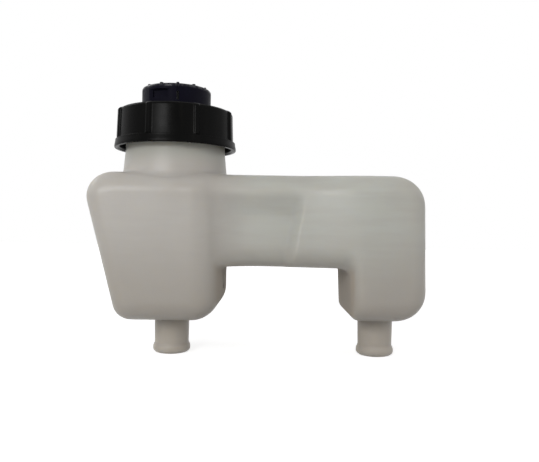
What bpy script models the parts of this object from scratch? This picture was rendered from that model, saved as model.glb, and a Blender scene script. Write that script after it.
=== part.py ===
"""Brake fluid reservoir with two chambers: a hollow moulded tank with two hose spigots, closed by a
screwed ring that holds down a vented inner cap.

Metres, +Z up. X runs along the tank, from the filler chamber to the small chamber, and Y goes through
it. The origin is at the middle of the whole part's outline, level with the open ends of the spigots.
"""

import math

import bmesh
import bpy
from mathutils import Vector

# Clearance between pieces that rest on each other, and how far a cut runs on past a surface
SEAT_GAP = 0.0003
CUT_OVER = 0.0020

# Strainer basket, hung on the neck's rim
STRAINER_TOP_RADIUS = 0.0158
STRAINER_TAPER = 0.0030
STRAINER_WALL = 0.0012
STRAINER_COLLAR = 0.0010
STRAINER_DEPTH = 0.0240
STRAINER_FLANGE_THICKNESS = 0.0009
STRAINER_FLANGE_INSET = 0.0004
STRAINER_SLOTS = 14
STRAINER_SLOT_WIDTH = 0.0022
STRAINER_SLOT_TOP = 0.0060
STRAINER_SLOT_BOTTOM = 0.0030
STRAINER_HOLES = 6
STRAINER_HOLE_RADIUS = 0.0016
STRAINER_HOLE_INSET = 0.0058
STRAINER_HOLE_STEPS = 8
STRAINER_BOTTOM_RADIUS = STRAINER_TOP_RADIUS - STRAINER_TAPER

# Neck and its thread, sized round the strainer
NECK_CLEARANCE = 0.0022
NECK_WALL = 0.0024
NECK_TAPER = 0.0008
NECK_FOOT_FLARE = 0.0016
NECK_HEIGHT = 0.0200
NECK_FROM_LEFT = 0.0311
THREAD_PITCH = 0.0040
THREAD_HEIGHT = 0.0014
THREAD_ROOT_WIDTH = 0.0022
THREAD_CREST_WIDTH = 0.0008
THREAD_BELOW_RIM = 0.0074
NECK_THREAD_TURNS = 1.5
NECK_BORE_RADIUS = STRAINER_TOP_RADIUS + NECK_CLEARANCE
NECK_RADIUS = NECK_BORE_RADIUS + NECK_WALL
NECK_ROOT_RADIUS = NECK_RADIUS + NECK_TAPER
NECK_CREST_RADIUS = NECK_RADIUS + THREAD_HEIGHT
STRAINER_FLANGE_RADIUS = NECK_RADIUS - STRAINER_FLANGE_INSET

# Screwed ring, sized round the neck's thread
RING_THREAD_CLEARANCE = 0.0004
RING_WALL = 0.0017
RING_DRAFT = 0.0004
RING_RIB_PROUD = 0.0008
RING_RIBS = 8
RING_RIB_WIDTH = 0.0018
RING_RIB_CHAMFER = 0.0005
RING_RIB_DIRECTION = 5.9
RING_TOP_THICKNESS = 0.0016
RING_TOP_EDGE = 0.0012
RING_HOLE_CLEARANCE = 0.0004
RING_LEDGE = 0.0006
RING_FLARE_BELOW_RIM = 0.0058
RING_LIP_BELOW_RIM = 0.0091
RING_LIP_PROUD = 0.0012
RING_LIP_THICKNESS = 0.0014
RING_LIP_BEVEL = 0.0004
RING_THREAD_TURNS = 1.2
RING_BORE_RADIUS = NECK_CREST_RADIUS + RING_THREAD_CLEARANCE
RING_PANEL_RADIUS = RING_BORE_RADIUS + RING_WALL
RING_LIP_RADIUS = RING_PANEL_RADIUS + RING_LIP_PROUD

# Tank: overall form, seen from the front. The chambers are about as deep as the ring is wide
TANK_WIDTH = 0.1318
LIP_PAST_FACE = 0.0003
CHAMBER_DEPTH = 2 * (RING_LIP_RADIUS - LIP_PAST_FACE)
WALL = 0.0020
FILLER_FLOOR_Z = 0.0156
SMALL_FLOOR_Z = 0.0164
TANK_TOP_Z = 0.0732
LEFT_SHOULDER_DROP = 0.0001
SMALL_CHAMBER_DROP = 0.0002
BRIDGE_UNDERSIDE_Z = 0.0365
FILLER_CHAMBER_LENGTH = 0.0520
SMALL_CHAMBER_LENGTH = 0.0296
LEFT_X = -TANK_WIDTH / 2
RIGHT_X = TANK_WIDTH / 2
GAP_LEFT_X = LEFT_X + FILLER_CHAMBER_LENGTH
GAP_RIGHT_X = RIGHT_X - SMALL_CHAMBER_LENGTH

# Tank: left wall leans in towards the floor, right chamber's walls lean a little outwards
LEFT_FOOT_INSET = 0.0106
SMALL_CHAMBER_LEAN = 0.0006

# Tank: corner radii in the front view
FOOT_RADIUS = 0.0070
SHOULDER_RADIUS = 0.0098
CROWN_RADIUS = 0.1000
FILLER_CHAMBER_INNER_RADIUS = 0.0112
GAP_LEFT_FILLET = 0.0022
GAP_RIGHT_FILLET = 0.0032
SMALL_CHAMBER_INNER_RADIUS = 0.0034
SMALL_CHAMBER_FOOT_RADIUS = 0.0122
SMALL_CHAMBER_SHOULDER_RADIUS = 0.0128

# Tank: radii of the edges of the front and back faces
LEFT_EDGE = 0.0070
FILLER_INNER_EDGE = 0.0115
SMALL_INNER_EDGE = 0.0045
RIGHT_EDGE = 0.0080
FLOOR_EDGE = 0.0085
TOP_EDGE = 0.0082
UNDERSIDE_EDGE = 0.0070
LEAST_REACH = 0.0030

# Tank: how narrow a strip of the top takes the lines that rise from a fillet of the gap
FILLET_STRIP = 0.0012
FILLET_STRIP_INSET = 0.0004

# Bridge: how far its face and its sunk panel lie behind the chambers' face, and where the face
# runs out to the small chamber's
BRIDGE_SETBACK = 0.0056
PANEL_SETBACK = 0.0086
BRIDGE_HOLLOW = 0.0200
PANEL_BELOW_TOP = 0.0060
PANEL_SLOPE_HEIGHT = 0.0072
PANEL_SHARE_OF_GAP = 0.52
PANEL_EDGE_LEAN = 0.172
PANEL_EDGE_WIDTH = 0.0024
GAP_FALL = 3.0
RAMP_PAST_PANEL = 0.0008
RAMP_PAST_GAP = 0.0022
PANEL_TOP_Z = TANK_TOP_Z - PANEL_BELOW_TOP
PANEL_EDGE_X = GAP_LEFT_X + PANEL_SHARE_OF_GAP * (GAP_RIGHT_X - GAP_LEFT_X)
RAMP_START_X = PANEL_EDGE_X + RAMP_PAST_PANEL
RAMP_END_X = GAP_RIGHT_X + RAMP_PAST_GAP

# Spigots
FILLER_SPIGOT_FROM_LEFT = 0.0306
SMALL_SPIGOT_FROM_RIGHT = 0.0162
SPIGOT_RADIUS = 0.0070
SPIGOT_TAPER = 0.0002
SPIGOT_ROOT_FLARE = 0.0010
SPIGOT_BEAD_PROUD = 0.0007
SPIGOT_BEAD_HEIGHT = 0.0039
SPIGOT_END_INSET = 0.0006
SPIGOT_WALL = 0.0022
FILLER_SPIGOT_X = LEFT_X + FILLER_SPIGOT_FROM_LEFT
SMALL_SPIGOT_X = RIGHT_X - SMALL_SPIGOT_FROM_RIGHT

# Inner cap: its skirt goes down inside the strainer, its flange seals on the gasket
CAP_SKIRT_CLEARANCE = 0.0007
CAP_SKIRT_DEPTH = 0.0050
CAP_FLANGE_PROUD = 0.0006
CAP_FLANGE_THICKNESS = 0.0015
CAP_KNOB_PROUD = 0.0003
CAP_KNOB_HEIGHT = 0.0112
CAP_KNOB_EDGE = 0.0008
CAP_WALL = 0.0020
CAP_FLAT_DEPTH = 0.0009
CAP_FLAT_DIRECTION = -19.5
CAP_CROWN_THICKNESS = 0.0022
CAP_RIBS = 12
CAP_RIB_LENGTH = 0.0070
CAP_RIB_WIDTH = 0.0011
CAP_RIB_HEIGHT = 0.0005
CAP_VENT_WIDTH = 0.0010
CAP_VENT_HEIGHT = 0.0035
CAP_VENT_DIRECTION = 11.0
CAP_SKIRT_RADIUS = STRAINER_TOP_RADIUS - STRAINER_WALL - CAP_SKIRT_CLEARANCE
CAP_KNOB_RADIUS = CAP_SKIRT_RADIUS + CAP_KNOB_PROUD
CAP_FLANGE_RADIUS = NECK_RADIUS + CAP_FLANGE_PROUD

# Gasket between the strainer's flange and the inner cap
GASKET_THICKNESS = 0.0013
GASKET_CLEARANCE = 0.0013
GASKET_INNER_RADIUS = CAP_SKIRT_RADIUS + GASKET_CLEARANCE
GASKET_OUTER_RADIUS = STRAINER_FLANGE_RADIUS

# Splash baffle, snapped into a groove in the cap's skirt
BAFFLE_THICKNESS = 0.0010
BAFFLE_GROOVE_DEPTH = 0.0006
BAFFLE_LIP = 0.0007
BAFFLE_HOLE_RADIUS = 0.0010
BAFFLE_HOLE_OFFSET = 0.0070
BAFFLE_HOLE_STEPS = 12

# Fineness of the round forms
ROUND_STEPS = 40
SPIGOT_STEPS = 20

# Places that follow from the tank's outline and from the stack on the neck's rim
NECK_X = LEFT_X + NECK_FROM_LEFT
NECK_RIM_Z = TANK_TOP_Z + NECK_HEIGHT
NECK_THREAD_START_Z = NECK_RIM_Z - THREAD_BELOW_RIM
STRAINER_Z = NECK_RIM_Z + SEAT_GAP
GASKET_Z = STRAINER_Z + STRAINER_FLANGE_THICKNESS + SEAT_GAP
CAP_Z = GASKET_Z + GASKET_THICKNESS + SEAT_GAP
RING_UNDERSIDE_Z = CAP_Z + CAP_FLANGE_THICKNESS + SEAT_GAP
RING_TOP_Z = RING_UNDERSIDE_Z + RING_TOP_THICKNESS
RING_FLARE_Z = NECK_RIM_Z - RING_FLARE_BELOW_RIM
RING_LIP_Z = NECK_RIM_Z - RING_LIP_BELOW_RIM


def smooth(value, start, end):
    """A ramp from 0 at start to 1 at end, level at both ends."""
    share = min(1.0, max(0.0, (value - start) / (end - start)))
    return share * share * (3.0 - 2.0 * share)


def direction(degrees):
    """Unit vector in plan, turned by degrees from straight ahead of the front (-Y) towards +X."""
    angle = math.radians(degrees)
    return Vector((math.sin(angle), -math.cos(angle), 0.0))


def make_material(name, colour, roughness):
    """A plastic or rubber material with one colour."""
    material = bpy.data.materials.new(name)
    material.use_nodes = True
    shader = material.node_tree.nodes["Principled BSDF"]
    shader.inputs["Base Color"].default_value = (*colour, 1.0)
    shader.inputs["Roughness"].default_value = roughness
    shader.inputs["Metallic"].default_value = 0.0
    return material


def add_object(name, bm, material=None):
    """Puts a bmesh into the scene as an object whose faces point outwards."""
    bmesh.ops.recalc_face_normals(bm, faces=bm.faces)
    mesh = bpy.data.meshes.new(name)
    bm.to_mesh(mesh)
    bm.free()
    mesh.shade_smooth()
    mesh.set_sharp_from_angle(angle=math.radians(35.0))
    obj = bpy.data.objects.new(name, mesh)
    bpy.context.scene.collection.objects.link(obj)
    if material:
        mesh.materials.append(material)
    return obj


def add_cutter(name, bm):
    """A helper solid that only shapes other pieces."""
    obj = add_object(name, bm)
    obj.hide_render = True
    obj.display_type = "WIRE"
    return obj


def boolean(obj, tool, operation):
    """Joins the tool to the object, or cuts it out."""
    modifier = obj.modifiers.new(f"{operation.lower()} {tool.name}", "BOOLEAN")
    modifier.operation = operation
    modifier.solver = "EXACT"
    modifier.object = tool


def grid_faces(bm, rows, closed_rows=False):
    """Quads between rows of vertices. Each row is a closed loop, and so are the rows if closed_rows."""
    count = len(rows)
    for i in range(count if closed_rows else count - 1):
        low, high = rows[i], rows[(i + 1) % count]
        for j in range(len(low)):
            k = (j + 1) % len(low)
            bm.faces.new((low[j], low[k], high[k], high[j]))


def turned(profile, steps, centre_x=0.0, hollow=False):
    """A solid of revolution about a vertical axis at centre_x, from (radius, height) points.

    A hollow profile is a closed loop clear of the axis; any other is closed by flat ends.
    """
    bm = bmesh.new()
    rows = []
    for radius, height in profile:
        rows.append([
            bm.verts.new((
                centre_x + radius * math.cos(math.tau * k / steps),
                radius * math.sin(math.tau * k / steps),
                height,
            ))
            for k in range(steps)
        ])
    grid_faces(bm, rows, closed_rows=hollow)
    if not hollow:
        bm.faces.new(rows[0])
        bm.faces.new(rows[-1])
    return bm


def add_box(bm, centre, along, length, width, low, high):
    """A box that runs along a plan direction, between two heights."""
    across = Vector((-along.y, along.x, 0.0))
    corners = []
    for height in (low, high):
        for a, b in ((-1, -1), (1, -1), (1, 1), (-1, 1)):
            place = centre + along * (a * length / 2) + across * (b * width / 2)
            corners.append(bm.verts.new((place.x, place.y, height)))
    bottom, top = corners[:4], corners[4:]
    bm.faces.new(bottom)
    bm.faces.new(top)
    grid_faces(bm, [bottom, top])


def arc(centre_r, centre_z, radius, start, end, count):
    """Points of a profile's round stretch, between two angles in degrees."""
    points = []
    for k in range(count + 1):
        angle = math.radians(start + (end - start) * k / count)
        points.append((centre_r + radius * math.cos(angle), centre_z + radius * math.sin(angle)))
    return points


def helical_ridge(centre_x, root, crest, helix_z, start_turn, turns, bury):
    """A screw thread's ridge: a trapezium carried up a right-handed helix, tapered out at both ends.

    The helix is at helix_z on the +X side, and the ridge starts start_turn turns further up it. The
    ridge stands from the root radius towards the crest radius, and reaches back past the root by the
    bury distance, into the wall that carries it.
    """
    outward = -1.0 if crest < root else 1.0
    buried = root - outward * bury
    slope = (THREAD_ROOT_WIDTH - THREAD_CREST_WIDTH) / 2 / THREAD_HEIGHT
    half_crest = THREAD_CREST_WIDTH / 2
    count = round(turns * ROUND_STEPS)
    run_out = ROUND_STEPS // 6
    bm = bmesh.new()
    rows = []
    for k in range(count + 1):
        turn = start_turn + (k + 0.5) / ROUND_STEPS
        angle = math.tau * turn
        height = helix_z + THREAD_PITCH * turn
        share = min(1.0, 0.25 + 0.75 * min(k, count - k) / run_out)
        tip = root + (crest - root) * share
        half_base = half_crest + slope * abs(tip - buried)
        section = ((buried, -half_base), (tip, -half_crest), (tip, half_crest), (buried, half_base))
        rows.append([
            bm.verts.new((
                centre_x + radius * math.cos(angle),
                radius * math.sin(angle),
                height + offset,
            ))
            for radius, offset in section
        ])
    grid_faces(bm, rows)
    bm.faces.new(rows[0])
    bm.faces.new(rows[-1])
    return bm


def belt(circles, first_heading, last_heading):
    """The taut path round circles, as arcs: (centre, signed radius, heading in, heading out).

    A radius is positive where the centre lies to the right of the way the path goes. Straight
    stretches join the arcs, along the circles' common tangents.
    """
    headings = [first_heading]
    for (x1, z1, r1), (x2, z2, r2) in zip(circles, circles[1:]):
        span = math.hypot(x2 - x1, z2 - z1)
        headings.append(math.atan2(z2 - z1, x2 - x1) - math.asin((r1 - r2) / span))
    headings.append(last_heading)
    return [(c, headings[i], headings[i + 1]) for i, c in enumerate(circles)]


def on_arc(piece, share):
    """(point, heading) at a share of the way along one arc of a belt."""
    (x, z, radius), start, end = piece
    heading = start + (end - start) * share
    point = Vector((x - radius * math.sin(heading), z + radius * math.cos(heading)))
    return point, heading


def straight(piece, next_piece, share):
    """(point, heading) at a share of the straight stretch between two arcs."""
    start, heading = on_arc(piece, 1.0)
    end, _ = on_arc(next_piece, 0.0)
    return start.lerp(end, share), heading


def trace(arcs, first, last):
    """Closely spaced (point, heading) pairs along a belt, from one of its arcs to another."""
    samples = []
    for number in range(first, last + 1):
        samples += [on_arc(arcs[number], k / 40) for k in range(41)]
        if number < last:
            samples += [straight(arcs[number], arcs[number + 1], k / 40) for k in range(1, 40)]
    return samples


def backwards(samples):
    """The same path, gone along the other way."""
    return [(point, (heading + 2 * math.pi) % math.tau - math.pi) for point, heading in samples[::-1]]


def where(samples, measure, wanted):
    """(point, heading) on a traced path, where a measure of the point first comes to a wanted value."""
    rising = measure(samples[-1][0]) > measure(samples[0][0])
    for (a, heading_a), (b, heading_b) in zip(samples, samples[1:]):
        low, high = measure(a), measure(b)
        if (high >= wanted) if rising else (high <= wanted):
            share = (wanted - low) / (high - low) if abs(high - low) > 1e-12 else 0.0
            share = min(1.0, max(0.0, share))
            return a.lerp(b, share), heading_a + (heading_b - heading_a) * share
    return samples[-1]


class Outline:
    """The tank's front view, shrunk all round by an inset, and the depth that goes with it."""

    def __init__(self, inset):
        self.inset = inset
        # Over the top, clockwise from the filler chamber's floor to the small chamber's
        self.outer = belt(
            (
                (LEFT_X + LEFT_FOOT_INSET + FOOT_RADIUS, FILLER_FLOOR_Z + FOOT_RADIUS, FOOT_RADIUS - inset),
                (LEFT_X + SHOULDER_RADIUS, TANK_TOP_Z - LEFT_SHOULDER_DROP - SHOULDER_RADIUS,
                 SHOULDER_RADIUS - inset),
                (NECK_X, TANK_TOP_Z - CROWN_RADIUS, CROWN_RADIUS - inset),
                (RIGHT_X - SMALL_CHAMBER_LEAN - SMALL_CHAMBER_SHOULDER_RADIUS,
                 TANK_TOP_Z - SMALL_CHAMBER_DROP - SMALL_CHAMBER_SHOULDER_RADIUS,
                 SMALL_CHAMBER_SHOULDER_RADIUS - inset),
                (RIGHT_X - SMALL_CHAMBER_FOOT_RADIUS, SMALL_FLOOR_Z + SMALL_CHAMBER_FOOT_RADIUS,
                 SMALL_CHAMBER_FOOT_RADIUS - inset),
            ),
            math.pi, -math.pi,
        )
        # Round the gap, from the filler chamber's floor to the small chamber's
        self.inner = belt(
            (
                (GAP_LEFT_X - FILLER_CHAMBER_INNER_RADIUS,
                 FILLER_FLOOR_Z + FILLER_CHAMBER_INNER_RADIUS, inset - FILLER_CHAMBER_INNER_RADIUS),
                (GAP_LEFT_X + GAP_LEFT_FILLET, BRIDGE_UNDERSIDE_Z - GAP_LEFT_FILLET,
                 GAP_LEFT_FILLET + inset),
                (GAP_RIGHT_X - GAP_RIGHT_FILLET, BRIDGE_UNDERSIDE_Z - GAP_RIGHT_FILLET,
                 GAP_RIGHT_FILLET + inset),
                (GAP_RIGHT_X + SMALL_CHAMBER_LEAN + SMALL_CHAMBER_INNER_RADIUS,
                 SMALL_FLOOR_Z + SMALL_CHAMBER_INNER_RADIUS, inset - SMALL_CHAMBER_INNER_RADIUS),
            ),
            0.0, 0.0,
        )
        self.left_wall = on_arc(self.outer[0], 1.0)
        self.right_wall = on_arc(self.outer[3], 1.0)

    def from_left(self, point):
        """How far a place in the front view lies in from the left wall."""
        start, heading = self.left_wall
        return (point - start).dot(Vector((math.sin(heading), -math.cos(heading))))

    def from_right(self, point):
        """How far a place in the front view lies in from the right wall."""
        start, heading = self.right_wall
        return (point - start).dot(Vector((math.sin(heading), -math.cos(heading))))

    def small_wall_x(self, z):
        """Where the small chamber's wall beside the gap stands at a height."""
        fall = (BRIDGE_UNDERSIDE_Z - z) / (BRIDGE_UNDERSIDE_Z - SMALL_FLOOR_Z)
        return GAP_RIGHT_X + self.inset + SMALL_CHAMBER_LEAN * fall

    def from_gap(self, x, z):
        """How far a place right of the filler chamber lies off the gap, and how far it is round it.

        The second is 0 above the gap, 1 beside it, and between at its rounded top right corner.
        """
        radius = GAP_RIGHT_FILLET + self.inset
        right = x - self.small_wall_x(z) + radius
        above = z - BRIDGE_UNDERSIDE_Z - self.inset + radius
        if right <= 0.0:
            return above - radius, 0.0
        if above <= 0.0:
            return right - radius, 1.0
        return math.hypot(right, above) - radius, smooth(math.atan2(right, above), 0.0, math.pi / 2)

    def bridge(self, x, z):
        """Half the depth of the bridge and the small chamber.

        The bridge has a sunk panel, and its face runs out to the small chamber's in a ramp.
        """
        past_edge = x - PANEL_EDGE_X - PANEL_EDGE_LEAN * (z - BRIDGE_UNDERSIDE_Z)
        sunk = 1.0 - smooth(past_edge, -PANEL_EDGE_WIDTH / 2, PANEL_EDGE_WIDTH / 2)
        sunk *= 1.0 - smooth(z, PANEL_TOP_Z - PANEL_SLOPE_HEIGHT, PANEL_TOP_Z)
        setback = BRIDGE_SETBACK + (PANEL_SETBACK - BRIDGE_SETBACK) * sunk
        setback *= 1.0 - smooth(x, RAMP_START_X, RAMP_END_X)
        clear, turn = self.from_gap(x, z)
        edge = UNDERSIDE_EDGE + (SMALL_INNER_EDGE - UNDERSIDE_EDGE) * turn - self.inset
        short = 1.0 - min(1.0, max(0.0, clear / edge))
        level = CHAMBER_DEPTH / 2 - setback - self.inset + GAP_FALL * min(0.0, clear)
        return level - edge * (1.0 - math.sqrt(1.0 - short * short))

    def run_out(self, x, full, low):
        """Half the depth where the filler chamber's rounded edge runs out onto the lower bridge.

        The edge's arc goes over into a wide hollow arc, and both have the same slope where they meet.
        """
        edge, hollow = FILLER_INNER_EDGE - self.inset, BRIDGE_HOLLOW + self.inset
        past = x - (GAP_LEFT_X - FILLER_INNER_EDGE)
        if past <= 0.0:
            return max(full, low)
        cosine = 1.0 - min(1.0, max(0.0, (full - low) / (edge + hollow)))
        sine = math.sqrt(1.0 - cosine * cosine)
        if past < edge * sine:
            return full - edge + math.sqrt(edge * edge - past * past)
        short = min(hollow, max(0.0, (edge + hollow) * sine - past))
        return low + hollow - math.sqrt(hollow * hollow - short * short)

    def half_depth(self, point):
        """Half the tank's depth at a place in the front view, its upright edges rounded."""
        x, z = point
        full = CHAMBER_DEPTH / 2 - self.inset

        def rounded(distance, radius):
            radius -= self.inset
            short = max(0.0, radius - distance)
            return full - radius + math.sqrt(radius * radius - short * short)

        return min(
            self.run_out(x, full, self.bridge(x, z)),
            rounded(max(0.0, self.from_left(point)), LEFT_EDGE),
            rounded(max(0.0, self.from_right(point)), RIGHT_EDGE),
        )


def tank_stations(outline):
    """Lines across the front view from the underside up to the top, from the left wall to the right.

    Each is ((lower point, heading), (upper point, heading)), its ends on the outline. They run as the
    walls do at both ends, and upright or nearly so between.
    """
    inset = outline.inset
    foot = backwards(trace(outline.outer, 0, 0))
    filler_floor = foot + trace(outline.inner, 0, 0)
    small_floor = trace(outline.inner, 3, 3) + backwards(trace(outline.outer, 4, 4))
    top = trace(outline.outer, 1, 3)

    def by_x(point):
        return point.x

    def steps(count):
        return [k / count for k in range(1, count + 1)]

    stations = []
    edge = LEFT_EDGE - inset
    for share in [0.0, *steps(6)]:
        inward = edge * (1.0 - math.cos(share * math.pi / 2))
        stations.append((where(filler_floor, outline.from_left, inward),
                         where(top, outline.from_left, inward)))

    def sweep(path, low_end, high_end, count):
        """Lines from the last one, on to given x values at the lower and the upper end."""
        low, high = stations[-1][0][0].x, stations[-1][1][0].x
        for share in steps(count):
            stations.append((where(path, by_x, low + (low_end - low) * share),
                             where(top, by_x, high + (high_end - high) * share)))

    edge = FILLER_INNER_EDGE - inset
    wall = GAP_LEFT_X - inset
    sweep(filler_floor, wall - edge, wall - edge, 4)
    for share in steps(6):
        x = wall - edge * (1.0 - math.sin(share * math.pi / 2))
        stations.append((where(filler_floor, by_x, x), where(top, by_x, x)))

    wall += FILLET_STRIP_INSET
    for share in steps(2):
        x = wall - FILLET_STRIP_INSET * (1.0 - share)
        stations.append((straight(outline.inner[0], outline.inner[1], share), where(top, by_x, x)))
    for share in steps(2):
        x = wall + FILLET_STRIP * share
        stations.append((on_arc(outline.inner[1], share), where(top, by_x, x)))

    edge_top_x = PANEL_EDGE_X + PANEL_EDGE_LEAN * (TANK_TOP_Z - BRIDGE_UNDERSIDE_Z)
    underside = [straight(outline.inner[1], outline.inner[2], k / 40) for k in range(41)]
    half = PANEL_EDGE_WIDTH / 2
    sweep(underside, PANEL_EDGE_X - half, edge_top_x - half, 4)
    sweep(underside, PANEL_EDGE_X + half, edge_top_x + half, 2)
    start = on_arc(outline.inner[2], 0.0)[0].x
    wall = outline.small_wall_x(TANK_TOP_Z)
    strip_end = wall - FILLET_STRIP_INSET
    sweep(underside, start, strip_end - FILLET_STRIP, 6)
    for share in steps(2):
        x = strip_end - FILLET_STRIP * (1.0 - share)
        stations.append((on_arc(outline.inner[2], share), where(top, by_x, x)))
    for share in steps(3):
        x = wall - FILLET_STRIP_INSET * (1.0 - share)
        stations.append((straight(outline.inner[2], outline.inner[3], share), where(top, by_x, x)))

    edge = SMALL_INNER_EDGE - inset
    foot_wall = on_arc(outline.inner[3], 0.0)[0].x
    for share in steps(4):
        inward = edge * (1.0 - math.cos(share * math.pi / 2))
        stations.append((where(small_floor, by_x, foot_wall + inward),
                         where(top, by_x, wall + inward)))

    foot_start = RIGHT_X - SMALL_CHAMBER_FOOT_RADIUS
    sweep(small_floor, foot_start, foot_start, 3)
    edge = RIGHT_EDGE - inset
    from_low, from_high = small_floor[::-1], top[::-1]
    sweep(small_floor, where(from_low, outline.from_right, edge)[0].x,
          where(from_high, outline.from_right, edge)[0].x, 1)
    for share in steps(6):
        inward = edge * (1.0 - math.sin(share * math.pi / 2))
        stations.append((where(from_low, outline.from_right, inward),
                         where(from_high, outline.from_right, inward)))
    return stations


def tank_loop(outline, station, corner_steps, low_steps, high_steps):
    """The closed section of the tank at one station: a tall loop that is the same front and back."""
    (low, low_heading), (high, high_heading) = station
    line = high - low
    length = line.length
    line = line / length
    over_gap = GAP_LEFT_X < low.x < GAP_RIGHT_X + outline.inset
    low_edge = UNDERSIDE_EDGE if over_gap else FLOOR_EDGE
    corners = []
    for heading, edge in ((low_heading, low_edge), (high_heading, TOP_EDGE)):
        square = abs(line.y * math.cos(heading) - line.x * math.sin(heading))
        cut = (edge - outline.inset) * square
        corners.append((cut, max(cut, LEAST_REACH)))
    (low_cut, low_reach), (high_cut, high_reach) = corners
    if over_gap:
        low_cut = 0.0

    def place(distance, cut):
        point = low + line * distance
        return point.x, outline.half_depth(point) - cut, point.y

    half = [(low.x, 0.0, low.y)]
    for k in range(corner_steps):
        angle = math.pi / 2 * k / corner_steps
        half.append(place(low_reach * (1.0 - math.cos(angle)), low_cut * (1.0 - math.sin(angle))))
    face_end = length - high_reach
    panel_low = (PANEL_TOP_Z - PANEL_SLOPE_HEIGHT - low.y) / line.y
    panel_low = min(panel_low, face_end - (face_end - low_reach) / 5)
    half += [place(low_reach + (panel_low - low_reach) * k / low_steps, 0.0) for k in range(low_steps)]
    half += [place(panel_low + (face_end - panel_low) * k / high_steps, 0.0) for k in range(high_steps)]
    for k in range(corner_steps):
        angle = math.pi / 2 * (1.0 - k / corner_steps)
        half.append(place(length - high_reach * (1.0 - math.cos(angle)),
                          high_cut * (1.0 - math.sin(angle))))
    half += [place(length, high_cut), (high.x, 0.0, high.y)]
    return half + [(x, -y, z) for x, y, z in reversed(half[1:-1])]


def tank_form(inset, corner_steps, low_steps, high_steps):
    """The tank's bent body as one loft, shrunk all round by the inset."""
    bm = bmesh.new()
    outline = Outline(inset)
    rows = [
        [bm.verts.new(point) for point in tank_loop(outline, station, corner_steps, low_steps, high_steps)]
        for station in tank_stations(outline)
    ]
    grid_faces(bm, rows)
    bm.faces.new(rows[0])
    bm.faces.new(rows[-1])
    return bm


def neck_form():
    """The filler neck, flared at its foot, down to inside the chamber."""
    foot_radius = NECK_ROOT_RADIUS + NECK_FOOT_FLARE
    profile = [
        (foot_radius, TANK_TOP_Z - TOP_EDGE),
        *arc(foot_radius, TANK_TOP_Z + NECK_FOOT_FLARE, NECK_FOOT_FLARE, 250.0, 180.0, 4),
        (NECK_RADIUS, NECK_THREAD_START_Z - THREAD_ROOT_WIDTH),
        (NECK_RADIUS, NECK_RIM_Z),
    ]
    return turned(profile, ROUND_STEPS, NECK_X)


def spigot_form(x, floor_z):
    """A hose spigot: a tapered tube with a rounded bead at its open end, up into the floor."""
    bead_middle = SPIGOT_BEAD_HEIGHT / 2
    root = SPIGOT_RADIUS + SPIGOT_TAPER
    profile = [
        (SPIGOT_RADIUS - SPIGOT_END_INSET, 0.0),
        (SPIGOT_RADIUS, bead_middle * 0.2),
        (SPIGOT_RADIUS + SPIGOT_BEAD_PROUD * 0.75, bead_middle * 0.55),
        (SPIGOT_RADIUS + SPIGOT_BEAD_PROUD, bead_middle),
        (SPIGOT_RADIUS + SPIGOT_BEAD_PROUD * 0.75, bead_middle * 1.45),
        (SPIGOT_RADIUS, SPIGOT_BEAD_HEIGHT),
        (root, floor_z - SPIGOT_ROOT_FLARE),
        (root + SPIGOT_ROOT_FLARE, floor_z),
        (root + SPIGOT_ROOT_FLARE, floor_z + WALL / 2),
    ]
    return turned(profile, SPIGOT_STEPS, x)


def make_tank(material):
    """The tank: one hollow moulding with its neck, thread and spigots."""
    tank = add_object("tank", tank_form(0.0, 4, 10, 3), material)
    spigots = (
        ("filler", FILLER_SPIGOT_X, FILLER_FLOOR_Z),
        ("small", SMALL_SPIGOT_X, SMALL_FLOOR_Z),
    )
    boolean(tank, add_cutter("neck_form", neck_form()), "UNION")
    for name, x, floor_z in spigots:
        boolean(tank, add_cutter(f"{name}_spigot_form", spigot_form(x, floor_z)), "UNION")
    thread = helical_ridge(NECK_X, NECK_RADIUS, NECK_CREST_RADIUS, NECK_THREAD_START_Z, 0.0,
                           NECK_THREAD_TURNS, WALL / 4)
    boolean(tank, add_cutter("neck_thread_form", thread), "UNION")
    boolean(tank, add_cutter("cavity", tank_form(WALL, 3, 3, 2)), "DIFFERENCE")
    bore = turned([(NECK_BORE_RADIUS, TANK_TOP_Z - TOP_EDGE), (NECK_BORE_RADIUS, NECK_RIM_Z + CUT_OVER)],
                  ROUND_STEPS, NECK_X)
    boolean(tank, add_cutter("neck_bore", bore), "DIFFERENCE")
    spigot_bore = SPIGOT_RADIUS - SPIGOT_WALL
    for name, x, floor_z in spigots:
        bore = turned([(spigot_bore, -CUT_OVER), (spigot_bore, floor_z + WALL + CUT_OVER)],
                      SPIGOT_STEPS, x)
        boolean(tank, add_cutter(f"{name}_spigot_bore", bore), "DIFFERENCE")
    return tank


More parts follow.
